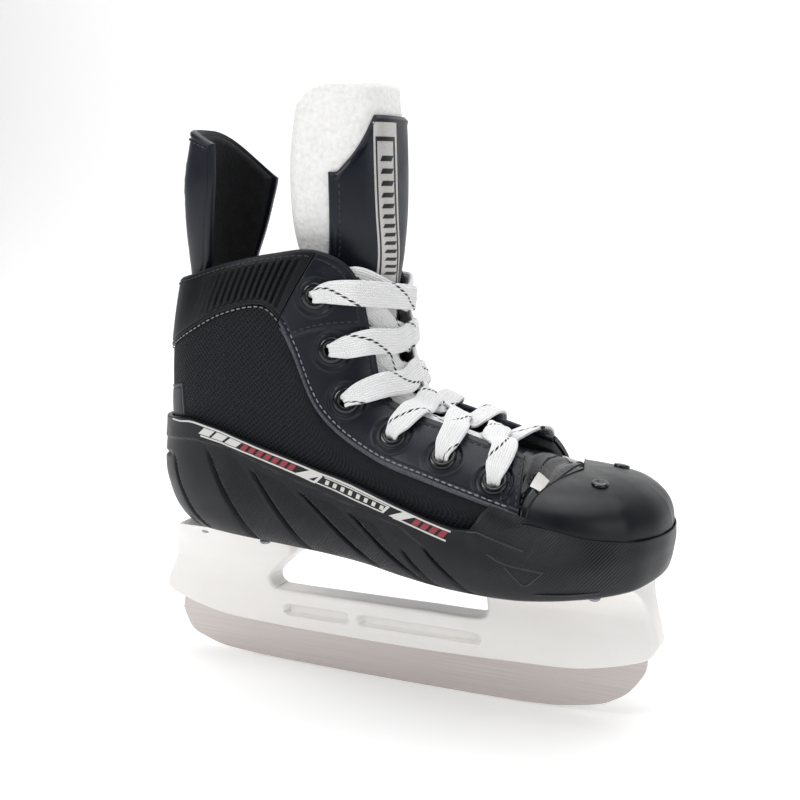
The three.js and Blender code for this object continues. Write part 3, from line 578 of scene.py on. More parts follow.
def panel(name, slot, material, u, v, bottom, top, radius=0.7, shape=None, **more):
    """Plate on the skin over the lines u × v, with rounded borders; shape(u, v, base) adds height in mm."""
    u, v = np.broadcast_arrays(u[None, :], v[:, None])
    base = skin_point(u, v)
    height = top - rounded(border_distance(base), radius)
    low = np.full_like(height, bottom)
    if shape:
        extra, pit = shape(u, v, base)
        height, low = height + extra - pit, low - pit
    normal = skin_normal(u, v)
    outer, inner = (base + normal * lift[..., None] for lift in (height, low))
    return slab(name, slot, material, outer, inner, **more)


STITCH_PITCH, STITCH_LENGTH, STITCH_RADIUS = 3.0, 2.3, 0.36


def stitch_row(name, material, line, normal, body="boot", slot="boot_vinyl"):
    """Thread stitches along a line: each a low capsule, its half width √(1 - s²) along its length."""
    step = np.linalg.norm(np.diff(line, axis=0), axis=1)
    run = np.concatenate([[0], np.cumsum(step)])
    centres = np.arange(STITCH_PITCH / 2, run[-1], STITCH_PITCH)
    s = np.array([-1, -0.85, -0.4, 0.4, 0.85, 1.0])
    at = centres[:, None] + s[None, :] * STITCH_LENGTH / 2

    def along(values, where):
        """Values at lengths measured along the line."""
        return np.stack([np.interp(where, run, values[:, k]) for k in range(3)], -1)

    spot, up = along(line, at), unit(along(normal, at))
    ahead = unit(along(line, at + 0.1) - along(line, at - 0.1))
    side = np.cross(up, ahead)
    angle = np.linspace(0, 2 * np.pi, 7)[:-1]
    fat = STITCH_RADIUS * np.sqrt(np.maximum(1 - s ** 2, 0.0))[None, :, None, None]
    ring = side[:, :, None] * np.cos(angle)[:, None] + up[:, :, None] * np.sin(angle)[:, None]
    points = spot[:, :, None] + ring * fat + up[:, :, None] * 0.12
    one = grid_quads(len(s), len(angle), wrap_cols=True)
    quads = (one[None] + (np.arange(len(centres)) * len(s) * len(angle))[:, None, None]).reshape(-1, 4)
    return piece(name, slot, material, points, quads, body=body, crease=60)


def cord_tube(name, slot, material, line, radius, sides=10):
    """Round piping: a circle of radius carried along a line, both ends drawn to a point."""
    ahead = unit(np.gradient(line, axis=0))
    side = unit(np.cross(ahead, [0.03, 0.02, 1.0]))
    up = np.cross(side, ahead)
    angle = np.linspace(0, 2 * np.pi, sides + 1)[:-1]
    fat = np.full(len(line), radius)
    fat[[0, -1]] = 0
    ring = side[:, None] * np.cos(angle)[:, None] + up[:, None] * np.sin(angle)[:, None]
    points = line[:, None] + ring * fat[:, None, None]
    piece(name, slot, material, points, grid_quads(len(line), sides, wrap_cols=True), crease=60)


# ---------------------------------------------------------------------------------------------
# Moulded shell
WALL = 2.6
SHELL_COLUMNS = 780
# Grooves that leave the fins: distance round from the heel and height at the top, then at the foot.
FINS = [[32.3, 103.4, 44.8, 71.5], [53.7, 109.7, 76.9, 70.6], [79.1, 102, 106, 68.6],
        [104.1, 94.7, 140.9, 67.2], [130, 88.8, 166.8, 61.6], [156.4, 76.8, 173, 59.8],
        [167.3, 79.5, 187.7, 60.4]]
# Lower line of the raised upper part of the shell: distance round from the heel, height.
BEAD = [[0, 107.5], [20, 109.5], [45, 112], [67.8, 110.2], [95, 101], [125.9, 93], [156.4, 85.8],
        [166, 80.5], [176, 71.5], [189, 60], [204, 44]]
# Printed band: x, top and bottom height measured from the ledge curve.
BAND = [[-98, 0.6, -3.6], [-88, 1.9, -3.4], [-80, 1.9, -3.2], [-53, 1.9, -2.6], [-30, 1.9, -2.9],
        [-12, 1.8, -3.6], [-3, 1.4, -4.4], [8, -0.2, -5.4], [20, -1.8, -6.4], [32, -3.4, -7.9],
        [45, -4.9, -9.6]]


def loop_point(half, t, inset=0.0):
    """Closed outline at t from 0 (toe centre) over the right side and heel (0.5) to 1, less an inset."""
    ring = mirrored(half)[:-1]
    around = np.vstack([ring[-1:], ring, ring[:2]])

    def at(place):
        """Point of the closed outline at a share of its way round."""
        return spline(around, (place % 1) * len(ring) + 1)

    t = np.asarray(t, float)
    ahead = at(t + 0.002) - at(t - 0.002)
    plan = np.stack([ahead[..., 1], -ahead[..., 0], np.zeros_like(t)], -1)
    return at(t) + unit(plan) * np.asarray(inset, float)[..., None]


LOOP_STEPS = 4000
LOOP_T = np.linspace(0, 1, LOOP_STEPS + 1)
LOOP_STEP = np.linalg.norm(np.diff(loop_point(SHELL_MID, LOOP_T), axis=0), axis=1)
LOOP_RUN = np.concatenate([[0], np.cumsum(LOOP_STEP)])
LOOP_RUN -= LOOP_RUN[LOOP_STEPS // 2]
LEDGE_X, LEDGE_Z = np.array(LEDGE)[1:, 0], np.array(LEDGE)[1:, 2]


def rim_lift(x):
    """Rise of the shell's rim above the ledge curve: up behind the ankle, sinking to the vamp."""
    return np.interp(x, [-116, -105, -88, -10, 0, 8, 20, 32, 45, 58, 70, 76, 88, 98, 110, 124],
                     [0, 0, 2.4, 2.4, 1.6, 0.4, -1.4, -3.0, -4.3, -2.6, 1.8, 3.4, 3.0, 1.9, 1.2, 1.0])


def shell_relief(run, z):
    """Fins, beads and steps of the shell's side, in mm outward, at a distance round from the heel."""
    a = np.abs(run)
    out = 0.55 * smooth(-0.35, 0.35, z - np.interp(a, *np.transpose(BEAD)))
    for a0, z0, a1, z1 in FINS:
        share = (z0 - z) / (z0 - z1)
        bow = 1.6 * np.clip(share, 0, 1) * (1 - np.clip(share, 0, 1))
        d = a - (a0 + (a1 - a0) * share) + bow
        depth = 2.1 * smooth(-0.03, 0.16, share) * (1 - smooth(1.0, 1.12, share))
        wide = 1.0 + 2.6 * np.clip(share, 0, 1)
        out = out - depth * np.where(d < 0, np.clip(1 + d / wide, 0, 1) ** 1.2, np.clip(1 - d / 0.7, 0, 1))
    out = out - 1.1 * bump(z - (99 + 0.13 * a), 0.9) * (1 - smooth(24, 32, a))
    for a0, z0, a1, z1 in [[187, 89.6, 211, 82.9], [198.6, 79.7, 219.6, 74.8], [216, 64.6, 242, 66.6]]:
        share = (a - a0) / (a1 - a0)
        line = z0 + (z1 - z0) * share
        out = out + 0.45 * smooth(0.25, -0.25, z - line) * smooth(-0.05, 0.08, share) * (
            1 - smooth(0.6, 1.0, share)) * smooth(-9, -1, z - line)
    return out


def hatch_mask(run, z):
    """1 where the shell carries fine slanted ribs: between the fins, and over the fore part."""
    a = np.abs(run)
    between = smooth(60, 70, a) * (1 - smooth(150, 158, a)) * smooth(64, 68, z)
    between = between * (1 - smooth(-5, -3, z - np.interp(a, *np.transpose(BEAD))))
    fore = smooth(188, 200, a) * (1 - smooth(240, 262, a)) * smooth(64, 72, z)
    for a0, z0, a1, z1 in FINS:
        d = a - (a0 + (a1 - a0) * (z0 - z) / (z0 - z1))
        between = between * (1 - smooth(-6.5, -4.5, d) * (1 - smooth(0.8, 1.6, d)))
    return np.clip(between + fore, 0, 1)


def shell_at(t, h, out=0.0):
    """Outer surface: h 0 at the sole's edge, 1 at the belly, 2 at the rim, through the three outlines."""
    edge, middle, rim = (loop_point(half, t) for half in (SOLE_EDGE, SHELL_MID, SHELL_RIM))
    rim = rim + rim_lift(rim[..., 0])[..., None] * [0, 0, 1]
    first, last = middle - edge, rim - middle
    turn = (rim - edge) / 2
    s = np.where(h < 1, h, h - 1)[..., None]
    below = (h < 1)[..., None]
    a, b = np.where(below, edge, middle), np.where(below, middle, rim)
    m0 = np.where(below, first * [1.9, 1.9, 0.75], turn)
    m1 = np.where(below, turn, last)
    point = a + s * m0 + s ** 2 * (3 * (b - a) - 2 * m0 - m1) + s ** 3 * (2 * (a - b) + m0 + m1)
    run = np.interp(t, LOOP_T, LOOP_RUN)
    plan = loop_point(SHELL_MID, t, -1.0) - middle
    fade = smooth(0.0, 0.12, h)
    return point + plan * (shell_relief(run, point[..., 2]) * fade + out)[..., None]


def outsole_shell():
    """Rings round the boot: under the sole, up the fine outer side, over the lip and down the inside."""
    t = np.arange(SHELL_COLUMNS) / SHELL_COLUMNS
    h = np.concatenate([np.linspace(0.02, 1.93, 88), np.linspace(1.95, 2.0, 5)])
    outer = shell_at(t[None, :] + 0 * h[:, None], h[:, None] + 0 * t[None, :])
    relief_top = outer[-1]
    plan = loop_point(SHELL_MID, t, 1.0) - loop_point(SHELL_MID, t)
    soft = 1 - 0.75 * smooth(70, 80, relief_top[:, :1])
    lip = [relief_top + plan * inset * soft + [0, 0, lift] for inset, lift in
           [(0.25, 0.35), (0.8, 0.6), (1.6, 0.6), (2.3, 0.3), (2.8, -0.6)]]
    rim_in = loop_point(SHELL_RIM, t, WALL + 0.3) + (rim_lift(relief_top[:, 0])[:, None] - 3) * [0, 0, 1]
    mid_in = loop_point(SHELL_MID, t, WALL)
    floor = loop_point(SOLE_EDGE, t, 1.5) + [0, 0, 3.6]
    deep = loop_point(SOLE_EDGE, t, 4) + [0, 0, 3]
    edges = [loop_point(SOLE_EDGE, t, inset) + [0, 0, lift] for inset, lift in
             [(3, 0), (1.4, 0.05), (0.5, 0.3)]]
    rings = [edges[0] * [1, 0, 1], *edges, *outer, *lip, rim_in, mid_in, floor, deep, deep * [1, 0, 1]]
    grid = np.stack(rings)
    run = np.interp(t, LOOP_T, LOOP_RUN)[None, :] + 0 * grid[..., 0]
    hatch = hatch_mask(run, grid[..., 2])
    hatch[:5] = 0                                   # no ribs under the sole
    hatch[-9:] = 0                                  # nor on the lip and inside
    quads = grid_quads(grid.shape[0], grid.shape[1], wrap_cols=True)
    piece("moulded_shell", "shell_plastic", SHELL, grid, quads, values={"hatch": hatch}, crease=28,
          replaces=["outsole_shell"])


SHELL_LINES = [[(187.1, 89.6), (199, 86.2), (211, 82.9)],
               [(196, 80.2), (203.5, 77.2), (212, 75.8), (219.6, 74.8)],
               [(203.7, 76.1), (207.5, 72.2), (211, 68.7), (213.5, 69.2), (216, 71.5), (219, 74.6)],
               [(216, 64.6), (229, 65.4), (242, 66.6)]]


def shell_lines(side, word):
    """Thin raised lines on the fore part of the shell, given as distance round from the heel and height;
    their lighter grey is a painted highlight.
    """
    for number, line in enumerate(SHELL_LINES, 1):
        points = spline(line, np.linspace(0, len(line) - 1, 90))
        t = np.interp(side * points[:, 0], LOOP_RUN, LOOP_T)
        h = height_to_h(t, points[:, 1], 0.0)
        cord_tube(f"shell_line_{word}_{number}", "shell_plastic", SHELL_LINE_HIGHLIGHT, shell_at(t, h, 0.02), 0.32)


def side_t(side, x):
    """Loop position of an x on the right (-1) or left (1) side, behind the toe."""
    half = np.linspace(0.06, 0.5, 1500)
    places = loop_point(SHELL_MID, half)[:, 0]
    t = np.interp(-np.asarray(x, float), -places, half)
    return t if side < 0 else 1 - t


HALVINGS = 26


def height_to_h(t, z, lowest=1.0):
    """Row value h between lowest and 2 whose outer point has height z, by halving the interval."""
    low, high = np.full(np.shape(t), lowest), np.full(np.shape(t), 2.0)
    for _ in range(HALVINGS):
        middle = (low + high) / 2
        under = shell_at(t, middle)[..., 2] < z
        low, high = np.where(under, middle, low), np.where(under, high, middle)
    return (low + high) / 2


def band_point(side, x, share, out=0.0):
    """Point on the shell in the printed band: share 0 at its lower border, 1 at the upper."""
    xs, top, bottom = np.transpose(BAND)
    ledge = np.interp(x, LEDGE_X, LEDGE_Z)
    z = ledge + np.interp(x, xs, bottom) + share * (np.interp(x, xs, top) - np.interp(x, xs, bottom))
    t = side_t(side, x)
    return shell_at(t, height_to_h(t, z), out)


PRINT_OUT, PRINT_IN = 0.16, -0.25                     # faces of a printed plate, from the shell's skin


def band_print(name, material, side, shapes):
    """Printed shapes as thin plates: each [rear x, front x, low share, high share, slant in mm]."""
    pairs = []
    for rear, front, low, high, slant in shapes:
        over = np.linspace(0, 1, max(int(abs(front - rear) / 1.2), 1) + 2)
        share = np.linspace(low, high, 4)[:, None] + 0 * over[None, :]
        x = rear + (front - rear) * over[None, :] + slant * share
        pairs.append((band_point(side, x, share, PRINT_OUT), band_point(side, x, share, PRINT_IN)))
    piece(name, "shell_plastic", material, *plates(pairs))


def shell_prints():
    """Band of slanted blocks, a plain slanted frame with bars, and border lines."""
    for side, word in SIDES:
        silver = [[x, x + 6.4, 0.14, 0.8, 5.0] for x in (-86, -78.2, -70.4)]
        silver += [[-104, 44, 0.87, 1.03, 0.0], [-84, -22, -0.08, 0.07, 0.0], [17, 42, -0.08, 0.07, 0.0]]
        silver += [[-32.5, -26, 0.0, 0.95, 9.0], [15, 20.5, 0.0, 0.95, 8.0]]
        silver += [[-23, 12, 0.0, 0.1, 0.0], [-17, 14, 0.72, 0.81, 0.0], [-23, -21.6, 0.0, 0.8, 4.4],
                   [11, 12.4, 0.0, 0.8, 4.0]]
        silver += [[x, x + 1.7, 0.22, 0.6, 2.0] for x in np.arange(-17.5, 10, 3.9)]
        red = [[x, x + 2.7, 0.14, 0.8, 3.6] for x in np.arange(-61.5, -34, 4.1)]
        red += [[x, x + 2.7, 0.14, 0.8, 3.4] for x in np.arange(25.5, 38, 4.0)]
        band_print(f"band_print_silver_{word}", SILVER_INK, side, silver)
        band_print(f"band_print_red_{word}", RED_INK, side, red)


WING = [[[50, 45.3, 87.2], [59, 45.9, 85.6], [68, 45.9, 84], [78, 45.3, 82.2]],
        [[53, 45.1, 90.8], [61, 45.4, 90.4], [69, 45.3, 89.6], [77.5, 44.7, 88.4]],
        [[56, 43.4, 95.8], [62.5, 43.4, 95], [69, 43.2, 94], [75.5, 42.7, 92.6]],
        [[59, 40.8, 99.2], [64.5, 40.6, 97.8], [69.5, 40.5, 96.6], [74, 40.4, 95.4]]]


def shell_wing(side, word):
    """Ear of the shell between its rim and the eyestay seam: a ribbed surface through rows of points."""
    rows, cols = eased(0, 3, 46), eased(0, 3, 60)
    net = spline(np.array(WING, float), rows)
    outer = np.swapaxes(spline(np.swapaxes(net, 0, 1), cols), 0, 1)
    normal = grid_normals(outer)
    normal *= np.sign(normal[..., 1:2])
    drop = rounded(border_distance(outer), 0.8)
    down, over = runs(outer)
    inner = outer - normal * 2.4
    outer = outer - normal * drop[..., None]
    hatch = smooth(1.0, 2.5, over) * smooth(0.6, 1.2, down)
    slab(f"shell_wing_{word}", "shell_plastic", SHELL, outer * [1, side, 1], inner * [1, side, 1],
         values={"hatch": hatch})


# ---------------------------------------------------------------------------------------------
# Toe cap
CAP_EDGE = [[74.2, 43.2, 93], [86, 42.6, 89.6], [98, 39.2, 87.2], [107.5, 34, 86.2], [114.3, 28.2, 85.9],
            [121.6, 14.3, 85.7], [123.8, 0, 85.6]]
CAP_POLE = np.array([86, 0, 107.6])
CAP_POWER = 2.65
CAP_HEART = CAP_POLE * [1, 1, 0] + [-4, 0, 84]      # the wall's thickness is measured towards this point
CAP_WALL = 2.2
TOE_RIVET = (0.242, 0.72)


def cap_point(s, t):
    """s from 0 at the right rear corner round the toe to 1, t from 0 at the lower edge to 1 at the pole:
    reach cos(tπ/2)^(2/p) from the pole in plan, climb sin(tπ/2)^(2/p) in height."""
    half = len(CAP_EDGE) - 1
    across = (2 * s - 1) * half
    edge = spline(CAP_EDGE, half - np.abs(across))
    edge = edge * np.stack([np.ones_like(s), np.sign(across), np.ones_like(s)], -1)
    reach = np.maximum(np.cos(t * np.pi / 2), 0) ** (2 / CAP_POWER)
    climb = np.sin(t * np.pi / 2) ** (2 / CAP_POWER)
    x = CAP_POLE[0] + (edge[..., 0] - CAP_POLE[0]) * reach
    return np.stack([x, edge[..., 1] * reach, edge[..., 2] + (CAP_POLE[2] - edge[..., 2]) * climb], -1)


def toe_cap():
    """Dome with a rolled rear border; its wall goes in towards the cap's heart."""
    s, t = np.meshgrid(eased(0, 1, 200, 0.6), eased(0, 1, 90, 0.5), indexing="ij")
    outer = cap_point(s, t)
    away = unit(outer - CAP_HEART)
    width = np.minimum(s, 1 - s) * 240
    border = bump(width - 1.6, 1.1) * 0.55 - rounded(width, 0.9) - rounded(runs(outer)[1], 0.3)
    outer = outer + away * border[..., None]
    no_ribs = np.zeros_like(s)
    slab("toe_cap_dome", "shell_plastic", SHELL, outer, outer - away * CAP_WALL, values={"hatch": no_ribs},
         crease=40, replaces=["toe_cap"])


def turned(name, slot, material, places, outline, replaces=(), sides=40):
    """Turned rings and heads: the outline [radius, height] spun round each place's normal.
    Each place is (centre, normal); whole outlines are closed or touch the axis at both ends."""
    angle = np.linspace(0, 2 * np.pi, sides + 1)[:-1]
    outline = np.asarray(outline, float)
    one = grid_quads(len(outline), sides, wrap_cols=True)
    points, quads = [], []
    for number, (centre, normal) in enumerate(places):
        normal = unit(np.asarray(normal, float))
        side = unit(np.cross(normal, [0.9, 0.1, 0.42]))
        up = np.cross(normal, side)
        ring = side * np.cos(angle)[:, None] + up * np.sin(angle)[:, None]
        points.append(centre + outline[:, :1, None] * ring + outline[:, 1:, None] * normal)
        quads.append(one + number * len(outline) * sides)
    piece(name, slot, material, np.stack(points), np.concatenate(quads), crease=50, replaces=replaces)


SNAP_HEAD = [[0, 0.75], [1.4, 0.8], [2.2, 1.15], [2.9, 1.2], [3.4, 0.9], [3.55, 0.3], [3.4, -0.6],
             [0, -0.6]]


def toe_rivet(side, word):
    """Snap rivet: flat button with a rounded border and a dished middle."""
    spread, t = TOE_RIVET
    s = np.array([[0.5 + side * spread]])
    t = np.array([[t]])
    step = 0.01
    round_toe = cap_point(s + step, t) - cap_point(s - step, t)
    to_pole = cap_point(s, t + step) - cap_point(s, t - step)
    normal = np.cross(round_toe, to_pole)[0, 0]
    normal = normal * np.sign(normal[2])
    turned(f"toe_snap_rivet_{word}", "eyelet_metal", ENAMEL, [(cap_point(s, t)[0, 0], normal)], SNAP_HEAD,
           replaces=[f"toe_rivet_{word}"])


# ---------------------------------------------------------------------------------------------
# Blade holder and runner
# Pairs across the holder, from the rear tower down, along the bridge and up the front tower:
# window border x, z and outer border x, z.
HOLDER = [[-46.8, 66.6, -103.5, 68.2], [-49, 57, -111.5, 60.5], [-56, 50.4, -116.5, 47],
          [-62.4, 43.6, -121.6, 34], [-62.6, 39.8, -118.5, 27.9], [-60.5, 37.9, -95, 20.9],
          [-56, 37.2, -66, 18.8], [-20, 37.3, -24, 18.2], [18, 37.6, 20, 18.3], [38, 37.6, 58, 19.5],
          [43.3, 38.4, 88.7, 21.4], [45.4, 40.6, 114, 28.5], [45.8, 43.5, 120.6, 34.6],
          [45.6, 50, 121.0, 40.2], [45.4, 56, 115.8, 57], [45.2, 60.6, 112.6, 67]]
FLARE = [[22, 5.2], [32, 6.2], [40, 6.6], [48, 8], [54, 10.5], [64, 13.5], [75, 14]]
SLOTS = [[-56, -23, 25, 30], [-17, 42, 25.4, 30.2]]
SLOT_DEPTH, SLOT_CORNER = 3.0, 2.2
REAR_FLANGE, FRONT_FLANGE = 22.0, 26.0               # half widths under the sole


def sole_height(x):
    """Height of the sole's edge over an x."""
    return np.interp(x, *np.array(SOLE_EDGE)[:, [0, 2]].T)


def holder_half(x, z):
    """Half thickness: slim over the steel, swelling up the towers, flaring out to the sole's flange, with
    two long shallow recesses."""
    flare = np.interp(z, *np.transpose(FLARE))
    wide = np.where(x < 0, REAR_FLANGE, FRONT_FLANGE)
    near = np.clip(1 - (sole_height(x) - z) / 15, 0, 1) * np.where(np.abs(x) > 40, 1, 0)
    half = flare + (wide - flare) * near ** 2.6
    for x0, x1, z0, z1 in SLOTS:
        dx = np.abs(x - (x0 + x1) / 2) - (x1 - x0) / 2 + SLOT_CORNER
        dz = np.abs(z - (z0 + z1) / 2) - (z1 - z0) / 2 + SLOT_CORNER
        outside = np.hypot(np.maximum(dx, 0), np.maximum(dz, 0))
        reach = outside + np.minimum(np.maximum(dx, dz), 0) - SLOT_CORNER
        half = half - SLOT_DEPTH * smooth(0.4, -0.6, reach)
    return half


def blade_holder():
    """Two mirrored faces y = ±half(x, z) over a strip that follows the holder, its borders rounded."""
    pairs = spline(HOLDER, np.linspace(0, len(HOLDER) - 1, 420))
    share = eased(0, 1, 56, 0.86)
    x = pairs[:, None, 0] + (pairs[:, None, 2] - pairs[:, None, 0]) * share
    z = pairs[:, None, 1] + (pairs[:, None, 3] - pairs[:, None, 1]) * share
    flat = np.stack([x, 0 * x, z], -1)
    over = runs(flat)[1]
    left_over = over[:, -1:] - over
    half = holder_half(x, z)
    half = half - np.minimum(rounded(over, 2.2), half * 0.5)
    tower = smooth(30, 44, z)
    tower_round = np.minimum(rounded(left_over, 3.2), half * 0.55)
    half = half - rounded(left_over, 1.0) * (1 - tower) - tower * tower_round
    right, left = (np.stack([x, side * half, z], -1) for side in (-1, 1))
    slab("holder_body", "holder_plastic", NYLON, right, left, crease=50, replaces=["blade_holder"])


RUNNER_BOTTOM = [[-116.1, 18.4], [-111.1, 8.7], [-102.4, 4.8], [-93.7, 2.5], [-85.1, 1.6], [-68.1, 0.8],
                 [-35, 0.25], [-12, 0], [12, 0], [40.7, 0.2], [68.8, 0.9], [82.4, 2.4], [95.7, 5.3],
                 [102.2, 8.3], [108.6, 13], [114.7, 21.7], [115.6, 27]]


RUNNER_TOP, RUNNER_HALF = 29.0, 1.5                   # height of the hidden top, half thickness


def runner():
    """Steel blade: two flat faces between the ground lower edge and a top hidden in the holder."""
    bottom = spline(RUNNER_BOTTOM, np.linspace(0, len(RUNNER_BOTTOM) - 1, 420))
    top = np.stack([bottom[:, 0] * 0.985, np.full(len(bottom), RUNNER_TOP)], -1)
    share = eased(0, 1, 30, 0.93)
    flat = bottom[:, None] + (top - bottom)[:, None] * share[None, :, None]
    grid = np.stack([flat[..., 0], 0 * flat[..., 0], flat[..., 1]], -1)
    half = RUNNER_HALF - rounded(runs(grid)[1], 0.3) * 0.8
    right, left = (grid + np.stack([0 * half, side * half, 0 * half], -1) for side in (-1, 1))
    slab("runner_blade", "runner_steel", STEEL, right, left, replaces=["runner"])


RIVET_HEAD = [[0, 1.1], [1.0, 1.05], [1.8, 0.8], [2.4, 0.4], [2.6, 0.0], [2.6, -0.4], [0, -0.4]]
RIVET_PLACES = [[-92, 15.5], [-59, 17.5], [58, 20.5], [97, 19]]    # x and distance from the middle


def holder_rivets():
    """Domed rivet heads under the holder's flange, each on its own node."""
    for number, (x, spread) in enumerate(RIVET_PLACES, 1):
        for side, word in SIDES:
            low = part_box(f"holder_rivet_{word}_{number}")[1].z / MM
            place = ([x, side * spread, low], (0, 0, -1))
            turned(f"holder_rivet_head_{word}_{number}", "rivet_steel", RIVET, [place], RIVET_HEAD,
                   replaces=[f"holder_rivet_{word}_{number}"], sides=28)


# ---------------------------------------------------------------------------------------------
# Upper
SPLIT_U = 5.0                                       # where the collar ends and the eyestay begins
HOLE_IN, HOLE_OUT = 4.1, 4.9                        # radii of an eyelet's pit at its floor and at its rim


def pressed_holes(side):
    """Shape of a panel that eyelets go through: a sunk ring round each, and a pit under its flange."""
    def shape(u, v, base):
        distance = eyelet_distance(base, side)
        ring = -0.45 * bump(distance - 7.4, 0.55) + 0.25 * bump(distance - 8.5, 0.8)
        return ring, 8.0 * (1 - smooth(HOLE_IN, HOLE_OUT, distance))
    return shape


def groove(distance, depth=0.3):
    """A pressed line where distance is 0."""
    return -depth * bump(distance, 0.5)


def quarter(side, word):
    """Textured cloth side, tucked under the shell's rim and the eyestay."""
    u = side * np.linspace(0.02, 9.9, 156)
    v = np.linspace(-0.45, 0.985, 60)
    panel(f"quarter_cloth_{word}", "quarter_fabric", CLOTH, u, v, -0.5, 0.35, 0.2,
          replaces=[f"quarter_{word}"])


def eyestay(side, word):
    """Coated leather facing with pressed eyelet rings, a front strap and a seam between its two parts."""
    holes = pressed_holes(side)

    def shape(u, v, base):
        extra, pit = holes(u, v, base)
        down, over = runs(base)
        seam = 0.5 * smooth(0.04, -0.04, np.abs(u) - 5.8 - 1.0 * (v - 1))
        lower = groove(down - 2.2) + groove(down[-1:] - down - 3.0, 0.25)
        front = 0.5 * smooth(5.2, 4.6, over[:, -1:] - over)
        return extra + seam + lower + front, pit

    u, v = side * eased(SPLIT_U + 0.008, 10, 330, 0.6), eased(1.012, 2, 130, 0.6)
    panel(f"eyestay_leather_{word}", "boot_vinyl", LEATHER, u, v, -0.6, 1.0, 0.6, shape=shape,
          replaces=[f"eyestay_{word}"])
    edge_u = np.linspace(5.3, 9.9, 400)
    lines = {"lower": (side * np.linspace(5.2, 9.9, 400), np.full(400, 1.06)),
             "front": (np.full(120, side * 9.93), np.linspace(1.08, 1.92, 120)),
             "strap": (np.full(120, side * 9.72), np.linspace(1.1, 1.9, 120)),
             "upper_seam": (side * np.linspace(5.82, 6.62, 120), np.linspace(1.1, 1.9, 120)),
             "edge": (side * edge_u, 2 - 0.075 - 0.05 * smooth(6, 8, edge_u))}
    for label, (at_u, at_v) in lines.items():
        lift = 1.5 if label in ("front", "upper_seam") else 0.95
        stitch_row(f"eyestay_stitches_{label}_{word}", PALE_THREAD if label == "lower" else DARK_THREAD,
                   skin(at_u, at_v, np.full(len(at_u), lift)), skin_normal(at_u, at_v))
    at_u = side * np.linspace(5.05, 9.98, 320)
    for label, v0, lift, radius in [("piping_upper", 1.0, 0.75, 0.75), ("piping_lower", 0.955, 0.35, 0.6)]:
        seam = skin(at_u, np.full(320, v0), np.full(320, lift))
        cord_tube(f"seam_{label}_{word}", "boot_vinyl", PIPING, seam, radius)


COLLAR_RIB = 3.1                                    # mm between the collar's ribs


def collar(side, word):
    """Rubber ankle panel: slanted ribs from behind the ankle to the split, smooth round the back."""
    def shape(u, v, base):
        x, z = base[..., 0], base[..., 2]
        slanted = x - 0.5 * (z - 170)
        wave = np.mod(slanted / COLLAR_RIB, 1)
        rib = 1.5 * (smooth(0.0, 0.25, wave) - smooth(0.5, 0.95, wave)) - 0.55
        a = np.abs(u)
        down = runs(base)[0]
        room = smooth(2.2, 2.9, a) * (1 - smooth(4.62, 4.86, a)) * smooth(2.2, 3.4, down)
        room = room * smooth(2.6, 4.2, down[-1:] - down)
        return rib * room + groove(down - 1.9), 0 * down

    u, v = side * eased(0.02, SPLIT_U - 0.008, 430, 0.4), eased(1.012, 2, 90, 0.6)
    panel(f"collar_rubber_{word}", "collar_rubber", RUBBER, u, v, -0.6, 1.35, 0.6, shape=shape,
          replaces=[f"collar_{word}"])
    line = side * np.linspace(0.1, 4.9, 240)
    for label, yarn, v0, lift in [("lower", PALE_THREAD, 0.985, 0.75), ("upper", DARK_THREAD, 1.93, 1.4)]:
        at_v = np.full(240, v0)
        stitch_row(f"collar_stitches_{label}_{word}", yarn, skin(line, at_v, np.full(240, lift)),
                   skin_normal(line, at_v), slot="collar_rubber")


def inner_boot():
    """Padded lining: a foam layer under all the panels whose top rolls over as the topline binding."""
    u = np.concatenate([-eased(0, 10, 150, 0.5)[::-1], eased(0, 10, 150, 0.5)[1:]])
    v = np.concatenate([np.linspace(-1, 1.6, 50), eased(1.62, 2.0, 26, 0.3)])

    def shape(u, v, base):
        distance = np.minimum(eyelet_distance(base, -1), eyelet_distance(base, 1))
        return 0 * distance, 3.4 * (1 - smooth(HOLE_IN, HOLE_OUT, distance))

    made = panel("padded_lining", "lining_fabric", LINING, u, v, -4.8, -0.9, 1.9, shape=shape,
                 replaces=["inner_boot"])


def topline_binding():
    """Rolled binding along the top edge of the boot, from facing to facing round the heel."""
    for side, word in SIDES:
        u = side * np.linspace(0, 9.98, 420)
        v = np.full(420, 1.995)
        line = skin(u, v, np.full(420, -0.3))
        cord_tube(f"topline_binding_{word}", "boot_vinyl", LEATHER, line, 1.25, sides=12)


def heel_counter():
    """Glossy patch over the heel with soft creases; its stitched rim is drawn as a groove."""
    def shape(u, v, base):
        edge = border_distance(base)
        return groove(edge - 1.8, 0.25) + 0.25 * np.sin(base[..., 2] / 6) * smooth(2, 6, edge), 0 * edge

    panel("heel_patch", "boot_vinyl", LEATHER, np.linspace(-1.9, 1.9, 130), np.linspace(-0.1, 0.46, 70),
          0.1, 0.75, 0.6, shape=shape, replaces=["heel_counter"])


# Arches of the throat piece: x, half width, base and top height, squareness exponent.
VAMP = [[60, 38.5, 90.5, 113, 1.18], [66, 39.5, 91, 112.2, 1.12], [72, 40, 91, 109.2, 0.95],
        [80, 39, 91.5, 105, 0.7], [91, 35, 92, 104.2, 0.65]]


def vamp_point(x, angle, out=0.0):
    """y = w·cos^e, z = base + (top - base)·sin^e across the throat, grown by out."""
    stations = np.array(VAMP, float)
    row = spline(stations, np.interp(x, stations[:, 0], np.arange(len(stations))))
    _, w, base, top, e = np.moveaxis(row, -1, 0)
    y = (w + out) * np.sign(np.cos(angle)) * np.abs(np.cos(angle)) ** e
    return np.stack([x, y, base + (top - base + out) * np.maximum(np.sin(angle), 0) ** e], -1)


